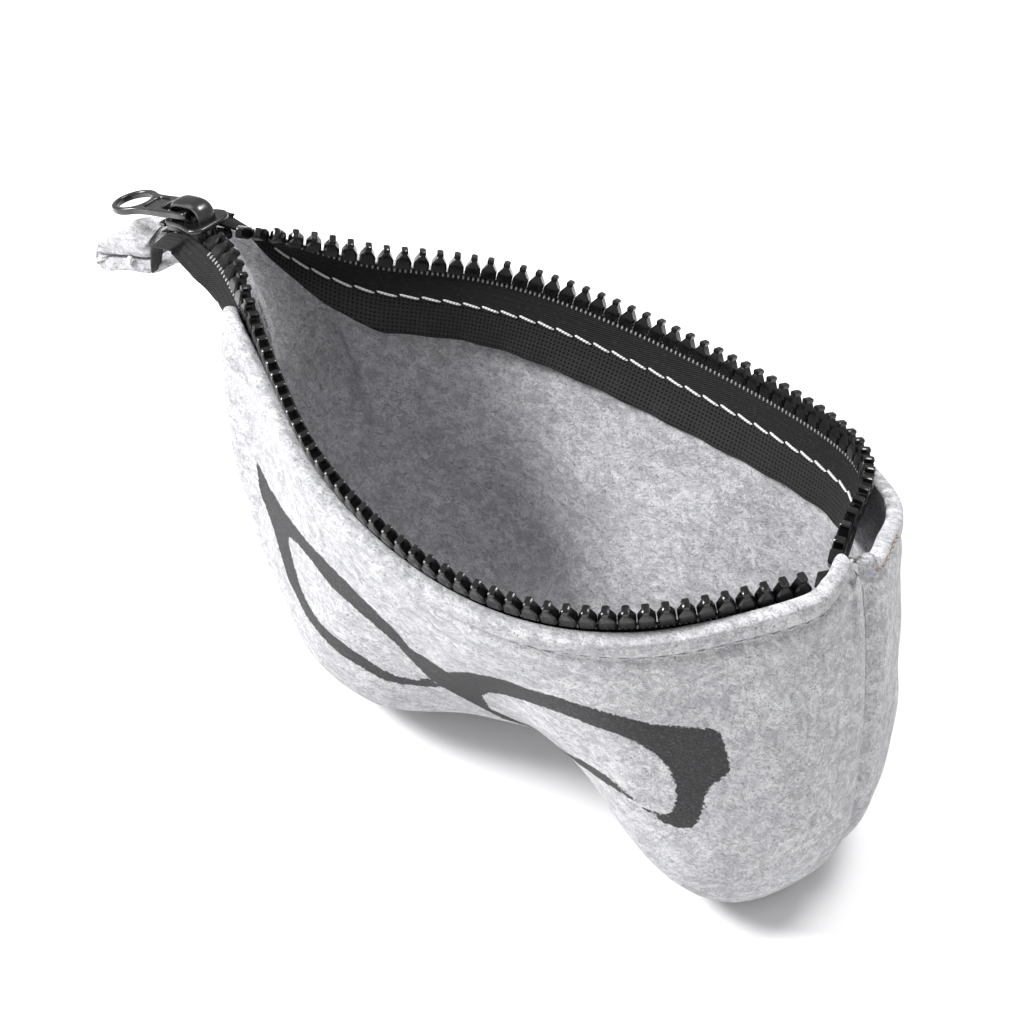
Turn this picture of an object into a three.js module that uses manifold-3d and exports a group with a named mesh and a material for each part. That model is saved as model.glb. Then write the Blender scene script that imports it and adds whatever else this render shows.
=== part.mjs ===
// Zip pouch for a pair of glasses: two felt panels joined by a turned seam round the sides
// and bottom, a moulded-tooth zip along the mouth, and a slider with a pull at its left end.
// Millimetres. X runs along the mouth, Y from the front panel to the back one, Z up.
// The pouch stands on its two lobes with its mouth open and the slider at the left stop.
import * as THREE from 'three';
import * as BufferGeometryUtils from 'three/addons/utils/BufferGeometryUtils.js';
import Module from 'manifold-3d';

const wasm = await Module();
wasm.setup();

// Driving dimensions
const pouchDepth = 92;         // bottom seam of the lobes to the zip at the slider
const earLength = 29;          // felt corner that stands out beyond the slider
const feltThickness = 3;
const touchGap = 0.3;          // air left between pieces that touch
const toothPitch = 3.45;
const teethPerRow = 52;
const toothLength = 1.9;       // along the row
const toothHeight = 4.4;       // from the tape to the tip
const toothThickness = 2.5;    // across the tape
const cordThickness = 1.7;     // core cord that the teeth are moulded on
const tapeThickness = 0.6;
const upperTapeWidth = 7.8;    // cord to the stitch line
const lowerTapeWidth = 8.8;    // stitch line to the free edge
const threadThickness = 0.7;
const rimBelowRow = 5.5;       // felt's cut edge, below the row's own curve
const rowSink = 3.5;           // the cord lies this far below that curve once clear of the slider
const sinkTeeth = [9, 17];     // teeth over which the row goes down to it
const stitchInset = 5;         // stitch line, below the felt's cut edge
const firstStitchTooth = 4;
const sliderLength = 12;
const sliderWidth = 10.4;
const sliderPitch = 11;        // degrees, nose up, where the zip comes over the ear
const sliderSide = -5;         // slider's place in Y: nearer the front panel
const sliderPlate = 1.1;
const pullLength = 25;
const pullWidth = 9.6;
const pullWebWidth = 7;
const pullThickness = 1.5;
const pullDroop = 5;           // degrees that the pull hangs below the slider's own plane
const ringHoleLength = 8;
const ringHoleWidth = 7.4;

// Zip row, as seen on the back panel: one value every seven teeth from the slider
const stationTeeth = 7;
const rowHeading = [12, 37, 35, 18, 4, -12, -39, -54, -62];      // degrees from +X
const rowSlope = [4, -9, -8, -10, -6, 4, 8, 7, 2];               // degrees above level
const upperTilt = [0, 50, 98, 106, 108, 106, 100, 92, 90];       // tape above the stitch, degrees
const lowerTilt = [125, 112, 100, 106, 108, 106, 100, 94, 92];   // tape below the stitch
const rowStandOff = 2;         // row to the slider's middle plane
const sideSwayTeeth = 16;      // teeth over which the rows swing back from the slider's side

// Outline of the seam. Ear: share of its length, offset in Y, drop from the slider.
// Body: share of the body's length, offset in Y, share of the depth. Each row ends with the
// place on the rim that its rib goes to, how far the rib bellies out, and the turn, in
// degrees, of the way out of the pouch from Y towards Z.
const earSeam = [
  [-1, -8, 16.5, 0, 5, 90],
  [-0.93, -1, 13.5, 0.025, 6, 88],
  [-0.5, 5, 13.5, 0.1, 7, 78],
];
const bodySeam = [
  [0, 3, 0.33, 0.16, 7, 25],
  [0.02, 0, 0.61, 0.205, 10, 0],
  [0.07, 0, 0.87, 0.25, 30, 0],
  [0.21, 0, 0.995, 0.335, 44, 0],
  [0.385, 0, 0.99, 0.45, 44, 0],
  [0.545, 0, 0.908, 0.555, 28, 0],
  [0.665, 0, 0.87, 0.64, 20, 0],
  [0.775, 0, 0.924, 0.72, 28, 0],
  [0.882, 0, 0.995, 0.79, 42, 0],
  [0.975, 0, 1, 0.85, 40, 0],
  [1.04, 0, 0.826, 0.9, 27, 0],
  [1.045, 0, 0.543, 0.935, 17, 0],
  [1.03, 0, 0.272, 0.97, 8, 0],
  [1.005, 0, 0.098, 1, 3, 0],
];
// Felt's cut edge between the ear's tip and the zip row: share of the ear's length, Y, drop,
// and the direction in which the felt arrives there.
const frontEarRim = [
  [-1, -10, 18.1, 0.2, -1, 0],
  [-0.7, -10.5, 15.4, 0.1, -1, 0],
  [-0.43, -11, 14, 0, -1, 0.2],
  [-0.1, -11, 14.5, 0, -0.5, 0.8],
  [0.25, -13.5, 14.5, 0, 0, 1],
  [0.62, -21.4, 13, 0, 0.1, 1],
];
const backEarRim = [
  [-1, -10, 13.6, 0.2, -1, 0],
  [-0.7, -10.3, 11.2, 0.1, -1, 0],
  [-0.47, -8.5, 9, 0.3, -0.9, 0.4],
  [-0.52, -1.5, 6.6, 0.4, -0.1, 0.8],
  [-0.3, 6.5, 7, 0.1, 0, 1],
  [0.1, 12, 9.5, 0, 0, 1],
  [0.5, 16.5, 10.5, 0, 0, 1],
];
const firstFrontRimTooth = 9;
const firstBackRimTooth = 8;
const cornerReach = 3.5;       // felt corner beyond the last tooth at the right
const cornerDrop = 13;         // and below the slider
const ribGrip = 0.36;          // share of a rib that follows the tape before it bellies out
const seamPuff = 3;            // how far the felt swells past the seam line

const radians = THREE.MathUtils.degToRad;
const vector = (x, y, z) => new THREE.Vector3(x, y, z);
const up = vector(0, 0, 1);

// Smooth curve through rows of numbers, at a place counted in rows
function along(rows, place) {
  const last = rows.length - 1;
  const i = Math.min(Math.floor(place), last - 1);
  const f = place - i;
  return rows[0].map((_, k) => {
    const p1 = rows[i][k];
    const p2 = rows[i + 1][k];
    const p0 = i > 0 ? rows[i - 1][k] : 2 * p1 - p2;
    const p3 = i < last - 1 ? rows[i + 2][k] : 2 * p2 - p1;
    const bend = 2 * p0 - 5 * p1 + 4 * p2 - p3;
    const twist = 3 * p1 - p0 - 3 * p2 + p3;
    return p1 + 0.5 * f * (p2 - p0 + f * (bend + f * twist));
  });
}

// Closed solid through a list of rings of points, with flat ends
function ringSolid(rings) {
  const size = rings[0].length;
  const position = [];
  const index = [];
  for (const ring of rings) {
    for (const point of ring) position.push(point.x, point.y, point.z);
  }
  for (let i = 0; i < rings.length - 1; i += 1) {
    for (let j = 0; j < size; j += 1) {
      const a = i * size + j;
      const b = i * size + ((j + 1) % size);
      index.push(a, b, b + size, a, b + size, a + size);
    }
  }
  const end = (rings.length - 1) * size;
  for (let j = 1; j < size - 1; j += 1) {
    index.push(0, j + 1, j, end, end + j, end + j + 1);
  }
  const geometry = new THREE.BufferGeometry();
  geometry.setAttribute('position', new THREE.Float32BufferAttribute(position, 3));
  geometry.setIndex(signedVolume(position, index) < 0 ? index.reverse() : index);
  geometry.computeVertexNormals();
  return geometry;
}

function signedVolume(position, index) {
  let volume = 0;
  const corner = (i) => vector(position[3 * i], position[3 * i + 1], position[3 * i + 2]);
  for (let i = 0; i < index.length; i += 3) {
    volume += corner(index[i]).dot(corner(index[i + 1]).cross(corner(index[i + 2])));
  }
  return volume / 6;
}

// Zip row frames at every quarter tooth: the core cord's point, the way along the row, the
// ways up the two strips of tape, and the way out of the pouch. side is -1 front, 1 back.
const stepsPerTooth = 4;

function rowFrames(side) {
  const stations = rowHeading.map((heading, i) => [heading, rowSlope[i], upperTilt[i], lowerTilt[i]]);
  const count = (teethPerRow + 1) * stepsPerTooth;
  const angles = [];
  const points = [];
  const point = vector(0, side * rowStandOff, pouchDepth);
  for (let k = 0; k <= count + 1; k += 1) {
    const [heading, slope, ...tilts] = along(stations, k / stepsPerTooth / stationTeeth).map(radians);
    const ahead = vector(Math.cos(heading), side * Math.sin(heading), 0);
    ahead.multiplyScalar(Math.cos(slope)).addScaledVector(up, Math.sin(slope));
    if (k > 0) point.addScaledVector(ahead, toothPitch / stepsPerTooth);
    const t = Math.min(1, k / stepsPerTooth / sideSwayTeeth);
    points.push(point.clone().add(vector(0, sliderSide * (1 - t) * (1 - t) * (1 + 2 * t), 0)));
    angles.push(tilts);
  }
  return points.slice(0, -1).map((here, k) => {
    const ahead = points[k + 1].clone().sub(here).normalize();
    const inward = vector(ahead.y * side, -side * ahead.x, 0).normalize();
    const ways = tapeWays(ahead, inward, ...angles[k], side);
    const sunk = rowSink * THREE.MathUtils.smoothstep(k / stepsPerTooth, ...sinkTeeth);
    return { point: here.clone().addScaledVector(ways.upper, -sunk), ahead, sunk, ...ways };
  });
}

function tapeWays(ahead, inward, tiltUp, tiltDown, side) {
  const way = (tilt) => {
    const v = inward.clone().multiplyScalar(Math.cos(tilt)).addScaledVector(up, Math.sin(tilt));
    return v.addScaledVector(ahead, -v.dot(ahead)).normalize();
  };
  const upper = way(tiltUp);
  const lower = way(tiltDown);
  return {
    upper,
    lower,
    outward: upper.clone().cross(ahead).multiplyScalar(side),
    lowerOutward: lower.clone().cross(ahead).multiplyScalar(side),
  };
}

const frontRow = rowFrames(-1);
const backRow = rowFrames(1);
const rowEnd = frontRow[frontRow.length - 1].point;
const bodyLength = rowEnd.x;

// Felt's cut edge, from the ear's tip to the right corner, evenly spaced
const rimOut = feltThickness / 2 + tapeThickness / 2 + touchGap + 0.35;

function feltRim(side) {
  const row = side < 0 ? frontRow : backRow;
  const rows = (side < 0 ? frontEarRim : backEarRim).map(([x, y, drop, ...way]) => (
    [x * earLength, y, pouchDepth - drop, ...way]));
  const first = side < 0 ? firstFrontRimTooth : firstBackRimTooth;
  for (let tooth = first; tooth < teethPerRow - 3; tooth += 5) {
    const { point, upper, outward, sunk } = row[tooth * stepsPerTooth];
    const rim = point.clone().addScaledVector(upper, sunk - rimBelowRow).addScaledVector(outward, rimOut);
    rows.push([...rim.toArray(), ...upper.toArray()]);
  }
  rows.push([bodyLength + cornerReach, side * 3.4, pouchDepth - cornerDrop, 0, 0, 1]);
  const fine = [];
  const steps = 40 * (rows.length - 1);
  for (let i = 0; i <= steps; i += 1) fine.push(along(rows, (i * (rows.length - 1)) / steps));
  return evenly(fine);
}

// Adds the distance along the curve to each row, as a share of the whole
function evenly(rows) {
  let length = 0;
  const places = rows.map((row, i) => {
    if (i > 0) length += vector(...row).distanceTo(vector(...rows[i - 1]));
    return length;
  });
  return rows.map((row, i) => ({ row, place: places[i] / length }));
}

function atPlace(curve, place) {
  let i = 1;
  while (i < curve.length - 1 && curve[i].place < place) i += 1;
  const a = curve[i - 1];
  const b = curve[i];
  const f = (place - a.place) / (b.place - a.place);
  return a.row.map((value, k) => value + f * (b.row[k] - value));
}

const seamCurve = (() => {
  const rows = [
    ...earSeam.map(([x, y, drop, ...rest]) => [x * earLength, y, pouchDepth - drop, ...rest]),
    ...bodySeam.map(([x, y, depth, ...rest]) => [x * bodyLength, y, pouchDepth * (1 - depth), ...rest]),
  ];
  const fine = [];
  const steps = 60 * (rows.length - 1);
  for (let i = 0; i <= steps; i += 1) fine.push(along(rows, (i * (rows.length - 1)) / steps));
  return evenly(fine);
})();

// Panels: ribs from the seam to the rim, each a cubic curve that leaves the seam square to it
// and reaches the rim along the tape. The last rows lie at set distances below the rim.
const panelColumns = 52;
const seamRows = [0, 0.06, 0.15, 0.28, 0.45, 0.65];
const rimRows = [2.2 * stitchInset, stitchInset, 0];

function panelRib(side, rim, column) {
  const [x, y, z, rimPlace, belly, turn] = atPlace(seamCurve, column / panelColumns);
  const out = vector(0, Math.cos(radians(turn)), Math.sin(radians(turn))).multiplyScalar(side);
  const seam = vector(x, y, z).addScaledVector(out, touchGap / 2);
  const [rx, ry, rz, ...way] = atPlace(rim, Math.min(Math.max(rimPlace, 0), 1));
  const end = vector(rx, ry, rz);
  const length = end.distanceTo(seam);
  const inPlane = vector(rx - x, 0, rz - z).normalize();
  const first = seam.clone().addScaledVector(out, belly);
  first.addScaledVector(inPlane, -seamPuff * belly / 44);
  const second = end.clone().addScaledVector(vector(...way).normalize(), -length * ribGrip);
  const curve = new THREE.CubicBezierCurve3(seam, first, second, end);
  const shares = rimRows.map((down) => 1 - Math.min(down / (3 * ribGrip * length), 0.1 + down / 60));
  const lastSeamShare = shares[0];
  return [...seamRows.map((share) => share * lastSeamShare), ...shares].map((share) => curve.getPoint(share));
}

function panelGrid(side) {
  const rim = feltRim(side);
  const middle = [];
  for (let column = 0; column <= panelColumns; column += 1) middle.push(panelRib(side, rim, column));
  const normals = middle.map((rib, i) => rib.map((_, j) => {
    const before = middle[Math.max(i - 1, 0)][j];
    const after = middle[Math.min(i + 1, panelColumns)][j];
    const below = rib[Math.max(j - 1, 0)];
    const above = rib[Math.min(j + 1, rib.length - 1)];
    return after.clone().sub(before).cross(above.clone().sub(below)).multiplyScalar(-side).normalize();
  }));
  return { middle, normals };
}

const frontGrid = panelGrid(-1);
const backGrid = panelGrid(1);

function offsetPoint(grid, i, j, distance) {
  return grid.middle[i][j].clone().addScaledVector(grid.normals[i][j], distance);
}

// The lobes are pressed flat where the pouch stands on them
const floorLevel = -seamPuff * 0.55;

function panel(grid) {
  const rings = grid.middle.map((rib, i) => {
    const outer = rib.map((_, j) => offsetPoint(grid, i, j, feltThickness / 2));
    const inner = rib.map((_, j) => offsetPoint(grid, i, j, -feltThickness / 2));
    for (const point of outer) point.z = Math.max(point.z, floorLevel);
    return [...outer, ...inner.reverse()];
  });
  return ringSolid(rings);
}

// Thread laid along one row of a panel's grid
function threadAlongPanel(grid, j, distance, from, to) {
  const rings = [];
  for (let i = from; i <= to; i += 1) {
    const next = grid.middle[Math.min(i + 1, panelColumns)][j];
    const along2 = next.clone().sub(grid.middle[i - 1][j]).normalize();
    const out = grid.normals[i][j];
    const across = out.clone().cross(along2).normalize();
    rings.push(squareRing(offsetPoint(grid, i, j, distance), out, across, threadThickness / 2));
  }
  return ringSolid(rings);
}

function squareRing(centre, a, b, half) {
  return [[1, 1], [-1, 1], [-1, -1], [1, -1]].map(([u, v]) => (
    centre.clone().addScaledVector(a, u * half).addScaledVector(b, v * half)));
}

// Zip
const toothTip = toothHeight - cordThickness / 2;

function block(frame, low, high, half) {
  const { point, upper, outward } = frame;
  return [[low, -half], [high, -half], [high, half], [low, half]].map(([u, v]) => (
    point.clone().addScaledVector(upper, u).addScaledVector(outward, v)));
}

function frameAt(row, place) {
  const i = Math.min(Math.floor(place), row.length - 2);
  const f = place - i;
  const mix = (key) => row[i][key].clone().lerp(row[i + 1][key], f);
  return { point: mix('point'), upper: mix('upper').normalize(), outward: mix('outward').normalize() };
}

// A row of teeth moulded on its core cord: the section steps out at each tooth
function teethRow(row, firstTooth) {
  const rings = [];
  const half = toothLength / toothPitch / 2;
  const cordHalf = cordThickness / 2;
  const frame = (tooth) => frameAt(row, tooth * stepsPerTooth);
  const cord = (tooth) => block(frame(tooth), -cordHalf, cordHalf, cordHalf);
  const full = (tooth) => block(frame(tooth), -cordHalf - 0.2, toothTip, toothThickness / 2);
  rings.push(cord(firstTooth - half - 0.15));
  for (let tooth = firstTooth; tooth <= teethPerRow - 0.6; tooth += 1) {
    rings.push(cord(tooth - half), full(tooth - half), full(tooth + half), cord(tooth + half));
  }
  return ringSolid(rings);
}

const stopLength = 1.9;

function topStop(row) {
  const start = teethPerRow + 0.1;
  const end = start + stopLength / toothPitch;
  const frame = (tooth) => frameAt(row, Math.min(tooth * stepsPerTooth, row.length - 1.01));
  const ring = (tooth) => (
    block(frame(tooth), -cordThickness / 2, toothTip - 0.4, toothThickness / 2 - 0.1));
  return ringSolid([ring(start), ring((start + end) / 2), ring(end)]);
}

// Tape: straight through the slider, then along the row, bent at the stitch line
const tapeLead = [
  [-14, upperTapeWidth - 2, 0.5],
  [-12, upperTapeWidth - 1, 1],
  [-7, upperTapeWidth, 3],
];
const tapeStepTeeth = 1.25;

function tape(row, side) {
  const rings = tapeLead.map(([x, width, fall]) => tapeRing({
    point: vector(x, sliderSide + side * rowStandOff, pouchDepth + x * Math.tan(radians(sliderPitch))),
    upper: vector(0, -side, 0),
    lower: row[0].lower,
    outward: up,
    lowerOutward: row[0].lowerOutward,
  }, width, fall));
  const last = (teethPerRow + 1) * stepsPerTooth;
  for (let k = 0; k <= last; k += tapeStepTeeth * stepsPerTooth) {
    const grow = Math.min(1, 0.4 + k / stepsPerTooth / 12);
    rings.push(tapeRing(row[Math.round(k)], upperTapeWidth, lowerTapeWidth * grow));
  }
  return ringSolid(rings);
}

function tapeRing(frame, upperWidth, lowerWidth) {
  const { point, upper, lower, outward, lowerOutward } = frame;
  const half = tapeThickness / 2;
  const top = point.clone().addScaledVector(upper, -cordThickness / 2 - touchGap - 0.2);
  const bend = point.clone().addScaledVector(upper, -upperWidth);
  const foot = bend.clone().addScaledVector(lower, -lowerWidth);
  const shift = (p, way, d) => p.clone().addScaledVector(way, d);
  const bendWay = outward.clone().add(lowerOutward).normalize();
  return [
    shift(top, outward, half), shift(bend, bendWay, half), shift(foot, lowerOutward, half),
    shift(foot, lowerOutward, -half), shift(bend, bendWay, -half), shift(top, outward, -half),
  ];
}

function tapeThread(row) {
  const rings = [];
  const last = teethPerRow * stepsPerTooth;
  for (let k = firstStitchTooth * stepsPerTooth; k <= last; k += stepsPerTooth) {
    const { point, upper, outward, lowerOutward } = row[k];
    const centre = point.clone().addScaledVector(upper, -upperTapeWidth);
    const bendWay = outward.clone().add(lowerOutward).normalize();
    centre.addScaledVector(bendWay, -(tapeThickness / 2 + 1.3 * touchGap + threadThickness / 2));
    rings.push(squareRing(centre, upper, outward, threadThickness / 2));
  }
  return ringSolid(rings);
}

// Seam thread, inside the pouch along the panels' butted edges
function seamThread() {
  const rings = [];
  const count = 64;
  for (let i = 0; i <= count; i += 1) {
    const place = 0.13 + (0.86 * i) / count;
    const here = vector(...atPlace(seamCurve, place));
    const ahead = vector(...atPlace(seamCurve, place + 0.004)).sub(here).normalize();
    const inside = vector(-ahead.z, 0, ahead.x).normalize();
    const centre = here.clone().addScaledVector(inside, feltThickness / 2 + 2 * touchGap + threadThickness);
    rings.push(squareRing(centre, inside, vector(0, 1, 0), threadThickness / 2));
  }
  return ringSolid(rings);
}

// Solids that are joined or cut
function solid(geometry) {
  const bare = geometry.clone();
  bare.deleteAttribute('normal');
  bare.deleteAttribute('uv');
  const merged = BufferGeometryUtils.mergeVertices(bare, 1e-4);
  return new wasm.Manifold(new wasm.Mesh({
    numProp: 3,
    vertProperties: new Float32Array(merged.attributes.position.array),
    triVerts: new Uint32Array(merged.index.array),
  }));
}

function geometryOf(manifold) {
  const mesh = manifold.getMesh();
  const geometry = new THREE.BufferGeometry();
  geometry.setAttribute('position', new THREE.Float32BufferAttribute(mesh.vertProperties, 3));
  geometry.setIndex(new THREE.Uint32BufferAttribute(mesh.triVerts, 1));
  geometry.computeVertexNormals();
  return geometry;
}

function plate(points, low, high) {
  const shape = new THREE.Shape(points.map(([x, y]) => new THREE.Vector2(x, y)));
  const geometry = new THREE.ExtrudeGeometry(shape, { depth: high - low, bevelEnabled: false });
  return geometry.translate(0, 0, low);
}

function box(x0, x1, y0, y1, z0, z1) {
  const geometry = new THREE.BoxGeometry(x1 - x0, y1 - y0, z1 - z0);
  return geometry.translate((x0 + x1) / 2, (y0 + y1) / 2, (z0 + z1) / 2);
}

// Slider, in its own frame: mouth to +X, the closed side to -X, teeth in the plane z = 0
const channelHalf = toothThickness / 2 + 0.35;
const plateTop = channelHalf + sliderPlate;
const nose = 3.4;
const rear = nose - sliderLength;
const rearHalf = sliderWidth * 0.37;
const noseHalf = sliderWidth / 2;
const tapeSlotHalf = tapeThickness / 2 + 0.3;

function sliderOutline(inset) {
  const right = [
    [rear + 1.2, -rearHalf + inset], [rear + sliderLength * 0.45, -rearHalf - 0.3 + inset],
    [nose - 2.4, -noseHalf + inset], [nose - 1.2, -noseHalf + 0.2 + inset], [nose, -noseHalf + 1.8 + inset],
  ];
  const left = right.map(([x, y]) => [x, -y]).reverse();
  return [[rear, -rearHalf + 1.4], ...right, ...left, [rear, rearHalf - 1.4]];
}

function sliderBody() {
  const outline = sliderOutline(0);
  let body = solid(plate(outline, channelHalf, plateTop));
  body = body.add(solid(plate(outline, -plateTop, -channelHalf)));
  const post = [[nose - 3.6, 0], [nose - 1.6, -1], [nose - 0.2, -0.8], [nose - 0.2, 0.8], [nose - 1.6, 1]];
  body = body.add(solid(plate(post, -channelHalf - 0.4, channelHalf + 0.4)));
  for (const side of [-1, 1]) {
    const lip = [
      [rear + 1.2, side * rearHalf], [rear + sliderLength * 0.55, side * (rearHalf + 0.5)],
      [rear + sliderLength * 0.55, side * (rearHalf - 0.4)], [rear + 1.2, side * (rearHalf - 0.8)],
    ];
    if (side > 0) lip.reverse();
    body = body.add(solid(plate(lip, tapeSlotHalf, channelHalf + 0.4)));
    body = body.add(solid(plate(lip, -channelHalf - 0.4, -tapeSlotHalf)));
  }
  return geometryOf(body);
}

// Crown: an arch over the top plate that holds the pull and covers the lock spring
const crownHalf = 2.1;
const crownRear = rear + 1;
const crownNose = nose - 1.6;
const crownHeight = 3.8;
const crownBase = plateTop + touchGap;
const crownWall = 1.1;

function crown() {
  const top = crownBase + crownHeight;
  const middle = (crownRear + crownNose) / 2;
  const innerRear = crownRear + crownWall;
  const innerNose = crownNose - crownWall;
  const innerTop = top - crownWall;
  const outer = new THREE.Shape();
  outer.moveTo(crownRear, crownBase);
  outer.bezierCurveTo(crownRear, top, crownRear + 2.6, top + 0.3, middle + 1, top);
  outer.bezierCurveTo(crownNose - 1, top - 0.6, crownNose, crownBase + 1.6, crownNose, crownBase);
  outer.lineTo(innerNose, crownBase);
  outer.bezierCurveTo(
    innerNose, crownBase + 1.4, crownNose - 1.9, top - 1.5, middle + 0.8, innerTop);
  outer.bezierCurveTo(crownRear + 2.8, innerTop, innerRear, top - 1.4, innerRear, crownBase);
  const extrude = { depth: 2 * crownHalf, bevelEnabled: false, curveSegments: 7 };
  const geometry = new THREE.ExtrudeGeometry(outer, extrude);
  return geometry.translate(0, 0, -crownHalf).rotateX(Math.PI / 2);
}

// Lock spring: a leaf under the arch, ahead of the pull's bar
const pullBarX = crownNose - crownWall - 2.8;
const pullBarZ = crownBase + 1.35;

function lockSpring() {
  return box(crownRear + crownWall + 2 * touchGap, pullBarX - 1.2, -1.2, 1.2, crownBase, crownBase + 0.5);
}

// Pull, in its own frame: bar at the origin, tab to -X, level
const windowLength = 8;
const windowHalf = crownHalf + 0.35;
const webHalf = pullWebWidth / 2;
const ringHalf = pullWidth / 2;

function pullShape() {
  const ringCentre = -pullLength + ringHoleLength / 2 + (pullWidth - ringHoleWidth) / 2;
  const neck = ringCentre + ringHalf + 1.6;
  const shape = new THREE.Shape();
  shape.moveTo(0.8, -webHalf);
  shape.lineTo(0.8, webHalf);
  shape.lineTo(neck + 2, webHalf - 0.1);
  shape.bezierCurveTo(neck, webHalf, ringCentre + 4, ringHalf, ringCentre + 0.5, ringHalf);
  shape.bezierCurveTo(ringCentre - 3.4, ringHalf, -pullLength, ringHalf - 2.4, -pullLength, 0);
  shape.bezierCurveTo(-pullLength, 2.4 - ringHalf, ringCentre - 3.4, -ringHalf, ringCentre + 0.5, -ringHalf);
  shape.bezierCurveTo(ringCentre + 4, -ringHalf, neck, -webHalf, neck + 2, 0.1 - webHalf);
  shape.closePath();
  const hole = new THREE.Path();
  hole.absellipse(ringCentre, 0, ringHoleLength / 2, ringHoleWidth / 2, 0, 2 * Math.PI, true);
  shape.holes.push(hole);
  const window = new THREE.Path();
  window.moveTo(-0.9, -windowHalf);
  window.lineTo(-windowLength, -windowHalf);
  window.lineTo(-windowLength, windowHalf);
  window.lineTo(-0.9, windowHalf);
  window.closePath();
  shape.holes.push(window);
  return shape;
}

function pull() {
  const extrude = { depth: pullThickness, bevelEnabled: false, curveSegments: 8 };
  const geometry = new THREE.ExtrudeGeometry(pullShape(), extrude);
  return geometry.translate(0, 0, -pullThickness / 2);
}

// Bottom stop: a clip across both tapes behind the slider
const bottomStopX = rear - 1.7;

function bottomStop() {
  const half = rowStandOff + 1.2;
  let clip = solid(box(bottomStopX - 0.9, bottomStopX + 0.9, -half, half, 0.65, 1.4));
  clip = clip.add(solid(box(bottomStopX - 0.9, bottomStopX + 0.9, -0.5, 0.5, -1.2, 0.9)));
  clip = clip.add(solid(box(bottomStopX - 0.9, bottomStopX + 0.9, -half, half, -1.4, -0.65)));
  return geometryOf(clip);
}

// Bar tack: a few turns of thread across a butted edge
function tack(centre, along3, length, over) {
  const turns = [];
  for (let i = 0; i <= 4; i += 1) {
    const t = i / 4 - 0.5;
    turns.push(centre.clone().addScaledVector(along3, t * length).addScaledVector(over, 0.6 * (0.25 - t * t)));
  }
  const across = along3.clone().cross(over).normalize();
  return ringSolid(turns.map((point) => squareRing(point, over, across, threadThickness / 2)));
}

function earTack() {
  const j = frontGrid.middle[0].length - 1;
  const i = 3;
  const a = offsetPoint(frontGrid, i, j, 0);
  const way = vector(0, 0, 1);
  const over = vector(0, -1, 0);
  return tack(a.clone().addScaledVector(over, feltThickness * 0.9), way, 3.4, over);
}

function cornerTack() {
  const centre = vector(bodyLength + cornerReach + feltThickness, 0, pouchDepth - cornerDrop - 6);
  return tack(centre, vector(0, 1, 0), 4, vector(1, 0, 0.2));
}

// Materials
function finish(color, roughness, metalness) {
  return new THREE.MeshStandardMaterial({ color, roughness, metalness });
}

const felt = () => finish(0xd2d2d8, 0.95, 0);
const blackTape = () => finish(0x232120, 0.8, 0);
const blackTeeth = () => finish(0x1d1c1c, 0.35, 0);
const gunmetal = () => finish(0x3c3a39, 0.35, 0.9);
const steel = () => finish(0x8a8a8c, 0.3, 1);
const whiteThread = () => finish(0xe9e9ea, 0.7, 0);
const greyThread = () => finish(0xbfbec4, 0.8, 0);

const pouch = new THREE.Group();

function place(parent, name, geometry, material) {
  const mesh = new THREE.Mesh(geometry, material);
  mesh.name = name;
  parent.add(mesh);
  return mesh;
}

const stitchRow = seamRows.length + 1;
const outerThreadOffset = feltThickness / 2 + 1.5 * touchGap + threadThickness / 2;

place(pouch, 'front_panel', panel(frontGrid), felt());
place(pouch, 'back_panel', panel(backGrid), felt());
place(pouch, 'front_tape', tape(frontRow, -1), blackTape());
place(pouch, 'back_tape', tape(backRow, 1), blackTape());
place(pouch, 'front_teeth', teethRow(frontRow, 1.5), blackTeeth());
place(pouch, 'back_teeth', teethRow(backRow, 2), blackTeeth());
place(pouch, 'front_top_stop', topStop(frontRow), blackTeeth());
place(pouch, 'back_top_stop', topStop(backRow), blackTeeth());
place(pouch, 'front_tape_stitch', tapeThread(frontRow), whiteThread());
place(pouch, 'back_tape_stitch', tapeThread(backRow), whiteThread());
const feltStitch = (grid, first) => (
  threadAlongPanel(grid, stitchRow, outerThreadOffset, first, panelColumns - 4));
place(pouch, 'front_felt_stitch', feltStitch(frontGrid, 15), greyThread());
place(pouch, 'back_felt_stitch', feltStitch(backGrid, 19), greyThread());
place(pouch, 'seam_thread', seamThread(), greyThread());
place(pouch, 'ear_tack', earTack(), whiteThread());
place(pouch, 'corner_tack', cornerTack(), greyThread());

const zipHead = new THREE.Group();
zipHead.position.set(0, sliderSide, pouchDepth);
zipHead.rotation.y = -radians(sliderPitch);
pouch.add(zipHead);
place(zipHead, 'bottom_stop', bottomStop(), gunmetal());
place(zipHead, 'slider_body', sliderBody(), gunmetal());
place(zipHead, 'slider_crown', crown(), gunmetal());
place(zipHead, 'lock_spring', lockSpring(), steel());
const pullTab = place(zipHead, 'pull_tab', pull(), gunmetal());
pullTab.position.set(pullBarX, 0, pullBarZ);
pullTab.rotation.y = -radians(pullDroop);

// The origin lies under the middle of the whole pouch's box
const bounds = new THREE.Box3().setFromObject(pouch, true);
const middle = bounds.getCenter(vector(0, 0, 0));
pouch.position.set(-middle.x, -middle.y, -bounds.min.z);

const part = new THREE.Group();
part.add(pouch);
export default part;
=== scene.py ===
# Felt zip pouch for a pair of glasses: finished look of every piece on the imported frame.
# Shapes are worked out in millimetres from the zip's start, then carried into the frame.
import math
import bpy
import numpy as np
from mathutils import Matrix, Vector


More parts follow.
